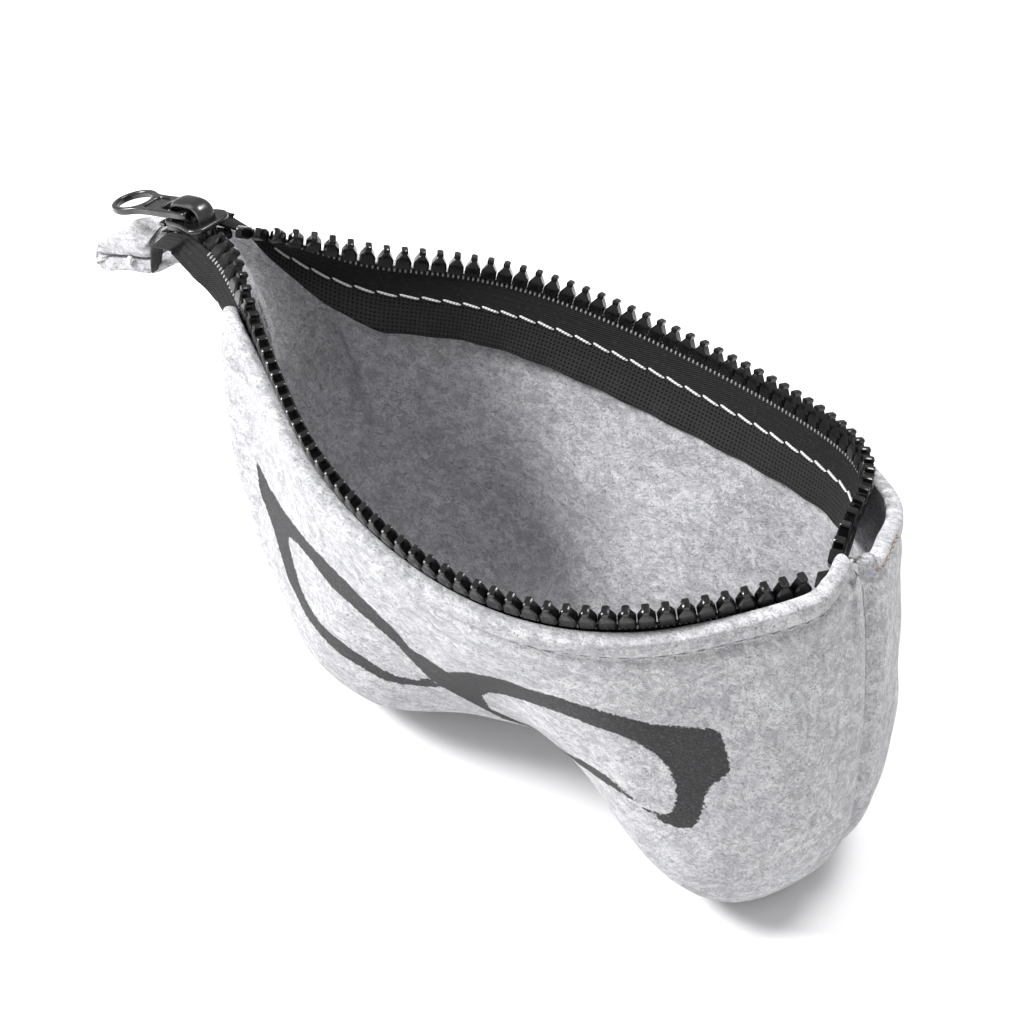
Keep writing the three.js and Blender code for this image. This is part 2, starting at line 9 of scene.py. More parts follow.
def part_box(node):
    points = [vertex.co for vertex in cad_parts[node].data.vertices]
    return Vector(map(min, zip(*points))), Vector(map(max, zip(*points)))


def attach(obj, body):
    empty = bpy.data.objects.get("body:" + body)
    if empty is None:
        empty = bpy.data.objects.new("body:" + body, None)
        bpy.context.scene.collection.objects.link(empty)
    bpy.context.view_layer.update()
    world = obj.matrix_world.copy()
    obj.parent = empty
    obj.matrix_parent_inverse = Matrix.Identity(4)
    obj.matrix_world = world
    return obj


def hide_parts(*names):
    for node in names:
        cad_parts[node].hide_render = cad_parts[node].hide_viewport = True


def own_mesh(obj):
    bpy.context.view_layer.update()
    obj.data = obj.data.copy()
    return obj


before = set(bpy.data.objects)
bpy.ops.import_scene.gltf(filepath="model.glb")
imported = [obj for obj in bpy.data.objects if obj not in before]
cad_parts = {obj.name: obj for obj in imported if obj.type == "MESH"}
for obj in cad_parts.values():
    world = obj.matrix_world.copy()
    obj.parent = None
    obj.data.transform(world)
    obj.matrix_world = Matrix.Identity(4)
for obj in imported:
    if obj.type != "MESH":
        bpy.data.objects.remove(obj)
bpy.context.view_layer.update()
print("pouch: frame loaded")

up = np.array([0.0, 0.0, 1.0])
# Headings are degrees from +X and slopes degrees above level, one every seven teeth;
# tilts are the tape's turn above and below its stitch line. Sides: -1 front, 1 back.
zipRow = dict(
    pitch=3.45, teeth=52, standOff=2.0, sway=-5.0, swayTeeth=16, stationTeeth=7,
    heading={-1: [12, 37, 35, 18, 4, -12, -39, -54, -62],
             1: [12, 37, 35, 18, 4, -12, -30, -78, -58]},
    slope={-1: [4, -9, -8, -10, -6, 4, 8, 4, -30],
           1: [4, -9, -8, -10, -6, 4, 8, 0, -64]},
    lastTooth={-1: 50, 1: 52},
    upperTilt=[8, 78, 100, 106, 108, 106, 100, 92, 90],
    lowerTilt=[118, 112, 100, 106, 108, 106, 100, 94, 92],
    rimBelow=1.6, sink=3.5, sinkTeeth=(2.5, 10.5),
    sliderMiddle=-2.6, sliderPitch=math.radians(11),
)

# Zip's start in the frame, from the slider's box
low, high = (np.array(c) * 1000 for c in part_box("slider_body"))
sliderCos, sliderSin = math.cos(zipRow["sliderPitch"]), math.sin(zipRow["sliderPitch"])
zipStart = (low + high) / 2 - zipRow["sliderMiddle"] * np.array([sliderCos, 0, sliderSin])
zipStart[1] -= zipRow["sway"]


def unit(v):
    return v / np.maximum(np.linalg.norm(v, axis=-1, keepdims=True), 1e-9)


def smooth(x, a, b):
    # 0 below a, 1 above b, an S between them
    t = np.clip((x - a) / (b - a), 0, 1)
    return t * t * (3 - 2 * t)


def throughRows(rows, place):
    # Catmull-Rom curve through the rows, read at places counted in rows
    rows = np.asarray(rows, float)
    i = np.clip(np.floor(place).astype(int), 0, len(rows) - 2)
    f = (place - i)[:, None]
    ends = np.vstack([2 * rows[0] - rows[1], rows, 2 * rows[-1] - rows[-2]])
    p0, p1, p2, p3 = (ends[i + k] for k in range(4))
    bend = 2 * p0 - 5 * p1 + 4 * p2 - p3
    return p1 + 0.5 * f * (p2 - p0 + f * (bend + f * (3 * p1 - p0 - 3 * p2 + p3)))


def byLength(rows, perRow):
    # the same curve with each point's share of the whole length in the first column
    fine = throughRows(rows, np.linspace(0, len(rows) - 1, perRow * (len(rows) - 1) + 1))
    step = np.linalg.norm(np.diff(fine[:, :3], axis=0), axis=1)
    reach = np.r_[0, np.cumsum(step)]
    return np.c_[reach / reach[-1], fine]


def readAt(curve, place):
    # a curve's columns, straight between its points, at shares of its length
    return np.stack([np.interp(place, curve[:, 0], curve[:, k]) for k in range(1, curve.shape[1])], axis=-1)


def gridFaces(rows, columns, wrapColumns, offset=0):
    # quads between neighbouring rows and columns of a grid of points
    a = np.arange(rows * columns).reshape(rows, columns)
    right = np.roll(a, -1, axis=1) if wrapColumns else a[:, 1:]
    left = a if wrapColumns else a[:, :-1]
    return np.stack([left[:-1], left[1:], right[1:], right[:-1]], axis=-1).reshape(-1, 4) + offset


def facesOutward(points, faces):
    # six times the volume under each quad's two triangles; a shell with less than none is turned over
    p = points[faces]
    halves = np.cross(p[:, 1], p[:, 2]) + np.cross(p[:, 2], p[:, 3])
    six = np.einsum("ij,ij->", p[:, 0], halves)
    return faces if six > 0 else faces[:, ::-1]


def makeMesh(name, points, faces, body, slot, material,
             uv=None, values=None, replaces=(), sharp=None):
    # points in millimetres from the zip's start; faces are rows of four corner numbers
    mesh = bpy.data.meshes.new(name)
    points = np.asarray(points, float).reshape(-1, 3)
    corners = facesOutward(points - points.mean(axis=0), np.asarray(faces))
    mesh.from_pydata(((points + zipStart) / 1000).tolist(), [], corners.tolist())
    mesh.polygons.foreach_set("use_smooth", np.ones(len(mesh.polygons), bool))
    loops = np.empty(len(mesh.loops), int)
    mesh.loops.foreach_get("vertex_index", loops)
    if uv is not None:
        layer = mesh.uv_layers.new(name="cloth")
        layer.data.foreach_set("uv", np.asarray(uv, np.float32).reshape(-1, 2)[loops].ravel())
    for key, value in (values or {}).items():
        attribute = mesh.attributes.new(key, "FLOAT", "POINT")
        attribute.data.foreach_set("value", np.asarray(value, np.float32).ravel())
    if sharp:
        mesh.set_sharp_from_angle(angle=math.radians(sharp))
    mesh.materials.append(material)
    obj = bpy.data.objects.new(name, mesh)
    bpy.context.collection.objects.link(obj)
    if replaces:
        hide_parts(*replaces)
    if body == "pouch" and slot in softSlots:
        softPieces.append(obj)
    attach(obj, body)
    return obj


softSlots = ("felt", "tape", "teeth", "white_thread", "grey_thread")
softPieces = []


def ringTubes(rings):
    # rings of points (tube, ring, corner, xyz) made into closed tubes with flat ends
    count, n, m = rings.shape[:3]
    side = gridFaces(n, m, True)
    a = np.arange(m // 2 - 1)
    cap = np.stack([a, a + 1, m - 2 - a, m - 1 - a], axis=-1)
    one = np.vstack([side, cap[:, ::-1], cap + (n - 1) * m])
    starts = np.arange(count) * n * m
    return rings.reshape(-1, 3), (one[None] + starts[:, None, None]).reshape(-1, 4)


def threadTubes(paths, radius, corners=8, over=None):
    # round thread along each path (thread, place, xyz); the ends narrow to a point
    ahead = unit(np.gradient(paths, axis=1))
    over = np.broadcast_to(up if over is None else over, paths.shape)
    first = unit(over - ahead * np.sum(over * ahead, axis=-1, keepdims=True))
    second = np.cross(ahead, first)
    place = np.linspace(0, 1, paths.shape[1])
    size = radius * np.sqrt(np.clip(1 - np.abs(2 * place - 1) ** 8, 0.02, 1))
    turn = np.linspace(0, 2 * np.pi, corners, endpoint=False)
    ring = first[:, :, None] * np.cos(turn)[:, None] + second[:, :, None] * np.sin(turn)[:, None]
    rings = paths[:, :, None] + ring * size[None, :, None, None]
    length = np.r_[0, np.cumsum(np.linalg.norm(np.diff(paths[0], axis=0), axis=1))]
    uv = np.stack(np.broadcast_arrays(length[None, :, None], turn / (2 * np.pi)), axis=-1)
    uv = np.broadcast_to(uv, rings.shape[:3] + (2,))
    return *ringTubes(rings), uv.reshape(-1, 2)


def rowFrames(side, steps=4):
    # Core cord's points, each the sum of the steps before it along the heading and slope,
    # and at each the ways along the row, up the two strips of tape, and out of the pouch
    z = zipRow
    place = np.arange((z["teeth"] + 1) * steps + 2) / steps
    stations = np.radians(np.c_[z["heading"][side], z["slope"][side], z["upperTilt"], z["lowerTilt"]])
    heading, slope, tiltUp, tiltDown = throughRows(stations, place / z["stationTeeth"]).T
    ahead = np.c_[np.cos(heading) * np.cos(slope), side * np.sin(heading) * np.cos(slope), np.sin(slope)]
    walked = np.vstack([np.zeros(3), np.cumsum(ahead[1:], axis=0)]) * z["pitch"] / steps
    point = np.array([0, side * z["standOff"], 0]) + walked
    t = np.clip(place / z["swayTeeth"], 0, 1)
    point[:, 1] += z["sway"] * (1 - t) ** 2 * (1 + 2 * t)
    ahead = unit(np.diff(point, axis=0))
    point, tiltUp, tiltDown = point[:-1], tiltUp[:-1, None], tiltDown[:-1, None]
    inward = unit(np.c_[ahead[:, 1] * side, -side * ahead[:, 0], np.zeros(len(ahead))])

    def way(tilt):
        v = inward * np.cos(tilt) + up * np.sin(tilt)
        return unit(v - ahead * np.sum(v * ahead, axis=1, keepdims=True))

    upper, lower = way(tiltUp), way(tiltDown)
    point = point - upper * (z["sink"] * smooth(place[:-1], *z["sinkTeeth"]))[:, None]
    return dict(point=point, ahead=ahead, upper=upper, lower=lower, steps=steps,
                out=np.cross(upper, ahead) * side, lowerOut=np.cross(lower, ahead) * side)


def frameAt(row, tooth):
    # row frame at any place, counted in teeth
    k = np.asarray(tooth, float) * row["steps"]
    n = np.arange(len(row["point"]))
    at = {}
    for key in ("point", "ahead", "upper", "lower", "out", "lowerOut"):
        at[key] = np.stack([np.interp(k, n, row[key][:, c]) for c in range(3)], axis=-1)
        if key != "point":
            at[key] = unit(at[key])
    return at


rows = {-1: rowFrames(-1), 1: rowFrames(1)}
bodyLength, bodyDepth = 151.0, 92.0

# Felt panels
felt = dict(
    thickness=3.0, gap=0.3, standOff=2.45,       # standOff: row's cord to the felt's middle
    ribGrip=0.36, puff=3.0, fullBelly=44.0,
    columns=420, across=92,
    grooveDown=5.0, grooveDepth=0.75, grooveFrom=(75, 100),      # grooveFrom: columns it fades in over
    valleyDepth=1.5, valleyWidth=1.7,
)
# seam: x, y, drop, place on the rim, belly, turn of the way out from Y towards Z
seamPoints = [
    [-28.5, -11.5, -14.6, 0.0, 2.6, 85], [-25, -7, -11.8, 0.02, 3, 85],
    [-22.5, -2, -9.6, 0.05, 3.2, 85], [-17.5, 1.8, -9.8, 0.078, 2.6, 80],
    [-9.5, 2.8, -13, 0.108, 2.2, 70],
    [2.0, 2.5, -19, 0.14, 1.6, 45], [6.8, 2, -33, 0.165, 2.0, 20], [11.6, 0.5, -54, 0.205, 2.8, 4],
]
# round the lobes: shares of the body's length and depth, then the last three but the turn
bodySeam = [
    [0.158, 0.87, 0.25, 19], [0.272, 0.995, 0.335, 41], [0.385, 0.99, 0.45, 44],
    [0.545, 0.908, 0.555, 28], [0.665, 0.87, 0.64, 20], [0.775, 0.924, 0.72, 28],
    [0.882, 0.995, 0.79, 42], [0.975, 1, 0.85, 40], [1.04, 0.826, 0.9, 27],
    [1.045, 0.543, 0.935, 17], [1.03, 0.272, 0.97, 8], [1.005, 0.098, 1, 3],
]
seamPoints += [[x * bodyLength, 0, -bodyDepth * d, rim, belly, 0] for x, d, rim, belly in bodySeam]
seamCurve = byLength(seamPoints, 60)
# felt's cut edge up to the row: x, y, z, and the felt's way there
earRim = {
    -1: [[-27.5, -12, -15.9, 0.2, -1, 0], [-20, -11, -13.7, 0.1, -1, 0],
         [-13, -10, -11.8, 0, -1, 0.2], [-8, -6, -8.8, 0, -1, 0.1],
         [0.5, -6, -8.4, 0, -1, 0.2], [13, -10.5, -9.2, 0, -0.5, 0.8]],
    1: [[-27.5, -12, -12.3, 0.2, -1, 0], [-20, -11, -10.1, 0.1, -1, 0],
        [-13.4, -9, -8.2, 0.3, -0.9, 0.4], [-15, -1.5, -6.2, 0.4, -0.1, 0.8],
        [-8.7, 6.5, -7, 0.1, 0, 1], [2.9, 12, -9.5, 0, 0, 1], [14.5, 16.5, -10.5, 0, 0, 1]],
}
# the same round the right corner
cornerRim = {
    -1: [[149.5, -14.5, -9.2, 0, 0, 1], [151.8, -9, -6.8, 0, 0, 1], [151.9, -5.6, -4.4, 0.1, 0, 1],
         [152, -3.4, -6.8, 0.4, 0, 1], [152.2, -1.9, -9.8, 0.8, 0, 0.6]],
    1: [[143.2, 24.5, -12.5, 0, 0, 1], [149.4, 17.5, -11.2, 0, 0, 1], [152, 9, -10, 0, 0, 1],
        [153, 5.4, -10.4, 0.2, 0, 1], [152.6, 2.4, -11.4, 0.6, 0, 0.8]],
}
firstRimTooth, lastRimTooth = {-1: 7, 1: 8}, {-1: 47, 1: 42}


def feltRim(side):
    row = rows[side]
    tooth = np.arange(firstRimTooth[side], lastRimTooth[side], 4)
    at = frameAt(row, tooth)
    raised = 0 * tooth
    if side > 0:
        raised = zipRow["sink"] * (1 - smooth(tooth, *zipRow["sinkTeeth"]))
    rim = at["point"] - at["upper"] * (zipRow["rimBelow"] + raised)[:, None] + at["out"] * felt["standOff"]
    return byLength(np.vstack([earRim[side], np.c_[rim, at["upper"]], cornerRim[side]]), 40)


def panelShape(side):
    # Each rib is a cubic curve, the sum of its four points by the shares (1-t)^3, 3t(1-t)^2,
    # 3t^2(1-t) and t^3: it leaves the seam the way out of the pouch, bellies, and comes to the
    # rim along the tape. Columns run from the ear to the right corner, across from the seam.
    x = np.linspace(0, 1, 2001)
    weight = np.cumsum(1 + 7 * np.exp(-(1 - x) / 0.045) + 5 * np.exp(-x / 0.035))
    t = np.interp(np.linspace(weight[0], weight[-1], felt["across"]), weight, x)[None, :, None]
    column = np.linspace(0, 1, felt["columns"])
    s = readAt(seamCurve, column)
    seamPoint, rimPlace, belly, turn = s[:, :3], s[:, 3], s[:, 4:5], np.radians(s[:, 5])
    out = side * np.c_[np.zeros(len(turn)), np.cos(turn), np.sin(turn)]
    rim = readAt(feltRim(side), np.clip(rimPlace, 0, 1))
    start, end = seamPoint + out * felt["gap"] / 2, rim[:, :3]
    length = np.linalg.norm(end - start, axis=1, keepdims=True)
    inPlane = unit((end - start) * [1, 0, 1])
    first = start + out * belly - inPlane * felt["puff"] * belly / felt["fullBelly"]
    grip = felt["ribGrip"] * (0.35 + 0.65 * smooth(seamPoint[:, :1], 4, 34))
    second = end - unit(rim[:, 3:6]) * length * grip
    p = [v[:, None, :] for v in (start, first, second, end)]
    middle = p[0] * (1 - t) ** 3 + 3 * p[1] * t * (1 - t) ** 2
    middle = middle + 3 * p[2] * t * t * (1 - t) + p[3] * t ** 3
    normal = unit(np.cross(np.gradient(middle, axis=0), np.gradient(middle, axis=1)) * -side)
    steps = np.linalg.norm(np.diff(middle, axis=1), axis=2)
    fromSeam = np.c_[np.zeros(len(column)), np.cumsum(steps, axis=1)]
    fromRim = fromSeam[:, -1:] - fromSeam
    along = np.r_[0, np.cumsum(np.linalg.norm(np.diff(s[:, :3], axis=0), axis=1))]
    fromEnds = np.minimum(along * 0.5, along[-1] - along)[:, None] + 0 * fromRim
    return middle, normal, fromSeam, fromRim, fromEnds


def cutEdge(distance, radius):
    # share of the felt's thickness left at a distance from its cut edge
    return np.sqrt(np.clip(1 - (1 - np.clip(distance / radius, 0, 1)) ** 2, 0, 1))


def bell(distance, middle, width):
    # e to minus the square of how many widths from the middle
    return np.exp(-((distance - middle) / width) ** 2)


def looseWave(p, size):
    # slow unevenness of soft felt, as a sum of sines of the place
    a = p / size
    x, y, z = a[..., 0], a[..., 1], a[..., 2]
    slow = np.sin(2.1 * x + 1.3 * z) * np.sin(1.7 * y + 0.8 * x + 1)
    return slow + 0.6 * np.sin(4.3 * x - 3.1 * z + 2) + 0.4 * np.sin(6.1 * z + 2.2 * y)


def panelSurfaces(side):
    # Outside and inside at half the thickness either way from the middle, shared by a rounded
    # cut edge. Bell curves of the distance add the sewn groove, the roll on each side of it and
    # the seam's valley, and the slow waves fade towards the edges.
    middle, normal, fromSeam, fromRim, fromEnds = panelShape(side)
    half = felt["thickness"] / 2
    edge = cutEdge(fromRim, 0.7) * np.maximum(cutEdge(fromEnds, 1.6), 0.12)
    body = smooth(fromRim, 6, 22) * smooth(fromSeam, 3, 14)
    wave = looseWave(middle, 17) * 0.28 * body
    groove = felt["grooveDepth"] * bell(fromRim, felt["grooveDown"], 1.0)
    groove = groove * smooth(np.arange(len(middle)), *felt["grooveFrom"])[:, None]
    roll = 0.25 * bell(fromRim, 2.4, 1.6) + 0.3 * bell(fromRim, 8.5, 2.6)
    valley = felt["valleyDepth"] * bell(fromSeam, 0, felt["valleyWidth"])
    valley = valley - 0.35 * bell(fromSeam, 4.5, 2.2)
    outside = (half + roll * body.max() * smooth(fromRim, 0, 1)) * edge - groove - valley + wave
    outer = middle + normal * outside[..., None]
    allowance = 1.2 * bell(fromSeam, 0, 2.5)
    inner = middle + normal * (-(half + allowance) * edge + wave)[..., None]
    outer[..., 2] = np.maximum(outer[..., 2], -zipStart[2])
    return middle, outer, inner, fromRim


# Materials
class Nodes:
    # short way to lay out a material: each call adds a node and sets or links its inputs
    def __init__(self, name):
        self.material = bpy.data.materials.new(name)
        self.material.use_nodes = True
        self.tree = self.material.node_tree
        self.shader = self.tree.nodes["Principled BSDF"]

    def add(self, kind, inputs=None, output=0, **settings):
        node = self.tree.nodes.new(kind)
        for key, value in settings.items():
            setattr(node, key, value)
        self.feed(node, inputs or {})
        return node.outputs[output]

    def feed(self, node, inputs):
        for key, value in inputs.items():
            if isinstance(value, bpy.types.NodeSocket):
                self.tree.links.new(value, node.inputs[key])
            else:
                node.inputs[key].default_value = value

    def math(self, operation, a, b=0.0, c=0.0, clamp=False):
        return self.add("ShaderNodeMath", {0: a, 1: b, 2: c}, operation=operation, use_clamp=clamp)

    def between(self, value, low, high, a=0.0, b=1.0):
        limits = {"From Min": low, "From Max": high, "To Min": a, "To Max": b}
        return self.add("ShaderNodeMapRange", {"Value": value, **limits})

    def mix(self, share, a, b):
        return self.add("ShaderNodeMix", {0: share, 6: a, 7: b}, output=2, data_type="RGBA")

    def noise(self, where, scale, detail=3.0, rough=0.55, twist=0.0):
        return self.add("ShaderNodeTexNoise", {
            "Vector": where, "Scale": scale, "Detail": detail, "Roughness": rough, "Distortion": twist})

    def bump(self, height, strength, distance, normal=None):
        inputs = {"Height": height, "Strength": strength, "Distance": distance}
        if normal is not None:
            inputs["Normal"] = normal
        return self.add("ShaderNodeBump", inputs)

    def place(self):
        return self.add("ShaderNodeTexCoord", output=3)

    def attribute(self, name):
        return self.add("ShaderNodeAttribute", output=2, attribute_name=name)


def grey(v, blue=0.0):
    return (v, v, v + blue, 1.0)


feltLook = dict(light=0.90, mid=0.50, dark=0.085, ink=0.036, inkBare=0.12)


def feltMaterial(name, inked=False):
    # wool mélange: pale and grey tufts, squiggly grey hairs of three sizes, and sparse near-black flecks
    m = Nodes(name)
    where = m.place()
    turned = m.add("ShaderNodeMapping", {
        "Vector": where, "Rotation": (0.5, 0.8, 0.6), "Scale": (1.0, 1.9, 1.4)})
    crossed = m.add("ShaderNodeMapping", {
        "Vector": where, "Rotation": (1.9, 0.3, 2.2), "Scale": (1.0, 2.2, 1.5)})
    cloud = m.between(m.noise(where, 85, 4, 0.6), 0.40, 0.62)
    tuft = m.between(m.noise(turned, 300, 5, 0.75, 0.9), 0.40, 0.60)
    grain = m.between(m.noise(where, 1500, 4, 0.75, 0.6), 0.33, 0.68)
    hairs = m.between(m.noise(turned, 560, 4, 0.68, 2.4), 0.53, 0.62)
    hairsToo = m.between(m.noise(crossed, 800, 4, 0.68, 2.8), 0.54, 0.63)
    flecks = m.between(m.noise(crossed, 820, 4, 0.7, 1.8), 0.60, 0.66)
    base = m.mix(tuft, grey(feltLook["mid"], 0.028), grey(feltLook["light"], 0.02))
    base = m.mix(m.math("MULTIPLY", grain, 0.45), base, grey(feltLook["mid"] * 0.78, 0.02))
    base = m.mix(m.math("MULTIPLY", cloud, 0.22), base, grey(feltLook["mid"] * 0.8, 0.022))
    base = m.mix(m.math("MULTIPLY", hairs, 0.55), base, grey(feltLook["dark"] * 2.1, 0.02))
    base = m.mix(m.math("MULTIPLY", hairsToo, 0.5), base, grey(feltLook["dark"] * 2.2, 0.02))
    base = m.mix(m.math("MULTIPLY", flecks, 0.75), base, grey(feltLook["dark"], 0.008))
    if inked:
        fray = m.between(m.noise(where, 1500, 2), 0.3, 0.7, -0.3, 0.3)
        ragged = m.math("ADD", m.attribute("printInside"), fray)
        share = m.between(ragged, -0.08, 0.16)
        bare = m.between(m.noise(turned, 1500, 4, 0.75, 1.0), 0.50, 0.72)
        ink = m.mix(bare, grey(feltLook["ink"], 0.002), grey(feltLook["inkBare"], 0.004))
        base = m.mix(share, base, ink)
    m.feed(m.shader, {"Base Color": base, "Roughness": 0.95, "Sheen Weight": 0.12,
                      "Sheen Roughness": 0.6, "Specular IOR Level": 0.12})
    fine = m.bump(m.noise(where, 2400, 4, 0.75, 1.2), 0.8, 0.00035)
    soft = m.bump(m.noise(turned, 520, 4, 0.65, 1.2), 0.6, 0.0007, fine)
    m.feed(m.shader, {"Normal": soft})
    return m.material


def tapeMaterial():
    # zip tape: a fine twill on the upper strip, an open knitted mesh below the stitch whose holes are painted
    # near-black as shade;
    # millimetres along are in the cloth's U and across in its V
    m = Nodes("blackTape")
    uv = m.add("ShaderNodeUVMap", uv_map="cloth")
    parts = m.tree.nodes.new("ShaderNodeSeparateXYZ")
    m.feed(parts, {0: uv})
    u, v = parts.outputs[0], parts.outputs[1]
    twill = m.math("SINE", m.math("MULTIPLY", m.math("ADD", u, m.math("MULTIPLY", v, 1.4)), 9.2))
    cross = m.math("SINE", m.math("MULTIPLY", m.math("SUBTRACT", u, m.math("MULTIPLY", v, 1.1)), 8.4))
    knit = m.math("MULTIPLY", m.math("SINE", m.math("MULTIPLY", m.math("ADD", u, v), 3.6)),
                  m.math("SINE", m.math("MULTIPLY", m.math("SUBTRACT", u, v), 3.6)))
    holes = m.between(knit, 0.15, 0.7)
    lower = m.between(v, 8.0, 8.2)
    where = m.place()
    fuzz = m.noise(where, 1400, 2)
    smoothUpper = m.mix(m.between(m.math("MULTIPLY", twill, cross), -1, 1), grey(0.007), grey(0.018))
    # painted shade: the mesh's openings near-black, darker than the black cords between them
    meshCordsAndHoleShade = m.mix(holes, grey(0.026), grey(0.001))
    base = m.mix(lower, smoothUpper, meshCordsAndHoleShade)
    base = m.mix(m.between(fuzz, 0.55, 0.85), base, grey(0.035))
    height = m.math("ADD", m.math("MULTIPLY", m.math("MULTIPLY", holes, lower), -1.0),
                    m.math("MULTIPLY", m.math("MULTIPLY", twill, 0.25), m.math("SUBTRACT", 1.0, lower)))
    m.feed(m.shader, {"Base Color": base, "Roughness": 0.7, "Sheen Weight": 0.05,
                      "Sheen Roughness": 0.4, "Specular IOR Level": 0.2})
    m.feed(m.shader, {"Normal": m.bump(height, 0.6, 0.00025, m.bump(fuzz, 0.25, 0.0001))})
    return m.material


def plasticMaterial():
    m = Nodes("blackMouldedPlastic")
    where = m.place()
    scuff = m.noise(where, 700, 3, 0.6)
    m.feed(m.shader, {"Base Color": m.mix(m.between(scuff, 0.4, 0.8), grey(0.004), grey(0.012)),
                      "Roughness": m.between(scuff, 0.3, 0.8, 0.14, 0.26), "Specular IOR Level": 0.5})
    m.feed(m.shader, {"Normal": m.bump(m.noise(where, 1100, 2), 0.12, 0.0001)})
    return m.material


def metalMaterial(name, tone, rough):
    # black nickel: dark bright metal with faint drawn scratches and small dents in the gloss
    m = Nodes(name)
    where = m.place()
    drawn = m.add("ShaderNodeMapping", {"Vector": where, "Scale": (0.12, 1.0, 1.0)})
    scratch = m.noise(drawn, 2600, 3, 0.7)
    cloud = m.noise(where, 260, 3)
    m.feed(m.shader, {"Base Color": m.mix(m.between(cloud, 0.35, 0.7), grey(tone * 0.8), grey(tone * 1.25)),
                      "Metallic": 0.95,
                      "Roughness": m.between(scratch, 0.3, 0.75, rough * 0.8, rough * 1.35)})
    m.feed(m.shader, {"Normal": m.bump(scratch, 0.08, 0.00008, m.bump(cloud, 0.1, 0.0002))})
    return m.material


def threadMaterial(name, colour):
    # twisted thread: slanting plies along the cloth's U, with painted shade darkening the grooves between
    # them
    m = Nodes(name)
    uv = m.add("ShaderNodeUVMap", uv_map="cloth")
    parts = m.tree.nodes.new("ShaderNodeSeparateXYZ")
    m.feed(parts, {0: uv})
    slant = m.math("MULTIPLY", parts.outputs[0], 9.0)
    ply = m.math("SINE", m.math("ADD", slant, m.math("MULTIPLY", parts.outputs[1], 6.283)))
    # painted shade: three quarters of the thread's colour, laid in the grooves where the ply wave is low
    dark = tuple(c * 0.75 for c in colour[:3]) + (1.0,)
    m.feed(m.shader, {"Base Color": m.mix(m.between(ply, -1, 0.6), dark, colour),
                      "Roughness": 0.75, "Sheen Weight": 0.3})
    m.feed(m.shader, {"Normal": m.bump(m.math("ADD", ply, m.noise(m.place(), 3000, 2)), 0.5, 0.00012)})
    return m.material


lightFelt = feltMaterial("lightFelt")
inkedFelt = feltMaterial("inkedFelt", inked=True)
blackTape = tapeMaterial()
blackPlastic = plasticMaterial()
blackNickel = metalMaterial("blackNickel", 0.085, 0.26)
springSteel = metalMaterial("springSteel", 0.5, 0.3)
whiteThread = threadMaterial("whiteThread", (0.82, 0.82, 0.82, 1))
paleThread = threadMaterial("paleThread", (0.42, 0.42, 0.43, 1))
feltThread = threadMaterial("feltThread", (0.62, 0.62, 0.64, 1))
tanThread = threadMaterial("tanThread", (0.30, 0.24, 0.19, 1))
print("pouch: materials made")

# Felt panels made
def closedSheet(outer, inner):
    # outer grid and inner grid as one shell: outer from seam to rim, inner back to the seam,
    # and the ends closed across the thickness
    ring = np.concatenate([outer, inner[:, ::-1]], axis=1)
    n, m = ring.shape[:2]
    faces = gridFaces(n, m, True)
    start = np.arange(m // 2 - 1)
    other = m - 1 - start
    capA = np.stack([start, start + 1, other - 1, other], axis=-1)
    capB = capA[:, ::-1] + (n - 1) * m
    return ring, np.vstack([faces, capA, capB])


# Print: generic spectacles, in millimetres along and down from the zip's start
printOutline = [
    (28.2, -33.7), (33.5, -37), (40.1, -37.5), (49.1, -36.7), (55.5, -37), (63.4, -38),
    (70, -40.6), (74.8, -45.4), (77.4, -49.6), (81.6, -49.8), (86.2, -51), (92.4, -45.8),
    (102.1, -40.4), (108, -39.1), (114, -36.9), (119.2, -36.3), (123.8, -36.1), (128, -36.6),
    (132, -37.7), (135.8, -37.6), (142.4, -37.4), (145.2, -47.2), (143.5, -49.1), (142.3, -50.8),
    (141.7, -53.3), (141.7, -57), (141.2, -60.5), (139.7, -62.7), (137.8, -63), (135.5, -62.4),
    (132.7, -60.7), (130.4, -59.3), (127.5, -58.1), (125.1, -58.2), (120, -59.8), (112, -63.3),
    (104, -68), (97, -71.8), (92.5, -73), (89.7, -72.4), (87.4, -68.4), (83.5, -63.6),
    (79.2, -59.8), (80.9, -62.1), (76.5, -64.9), (70.8, -67.1), (66.4, -67.3), (62.1, -65.6),
    (57.2, -64.5), (51.7, -62.6), (45, -61.7), (39.6, -57.2), (37.2, -52.1), (34.4, -47.7),
    (29, -42.5),
]
printLenses = [
    [(41.2, -43.9), (42.6, -49.5), (45, -54.4), (48, -56.7), (52.6, -58.3), (58.4, -59.1),
     (63.1, -61), (67.2, -63.4), (70.4, -64.1), (75, -63), (79.1, -59.4), (77.1, -55.5),
     (73.5, -50.6), (68.4, -46.8), (62.1, -44.5), (56.5, -43.7), (51.7, -41.9), (46.5, -41.7),
     (42.5, -42.9)],
    [(91.8, -57), (95.2, -52.4), (98.4, -50), (106.4, -45.4), (113, -42.6), (118.6, -41.7),
     (123.5, -41.8), (126.8, -42), (130.3, -43.5), (133.4, -45.8), (135.3, -48.2), (136.5, -51),
     (137.1, -53.9), (137.1, -57.3), (136.1, -59.6), (134.4, -59.9), (132.3, -59.4),
     (130.4, -58.4), (127.6, -56.3), (123.4, -55.6), (117, -57.2), (110, -61), (102, -65.7),
     (95, -69), (89.5, -66.6)],
]


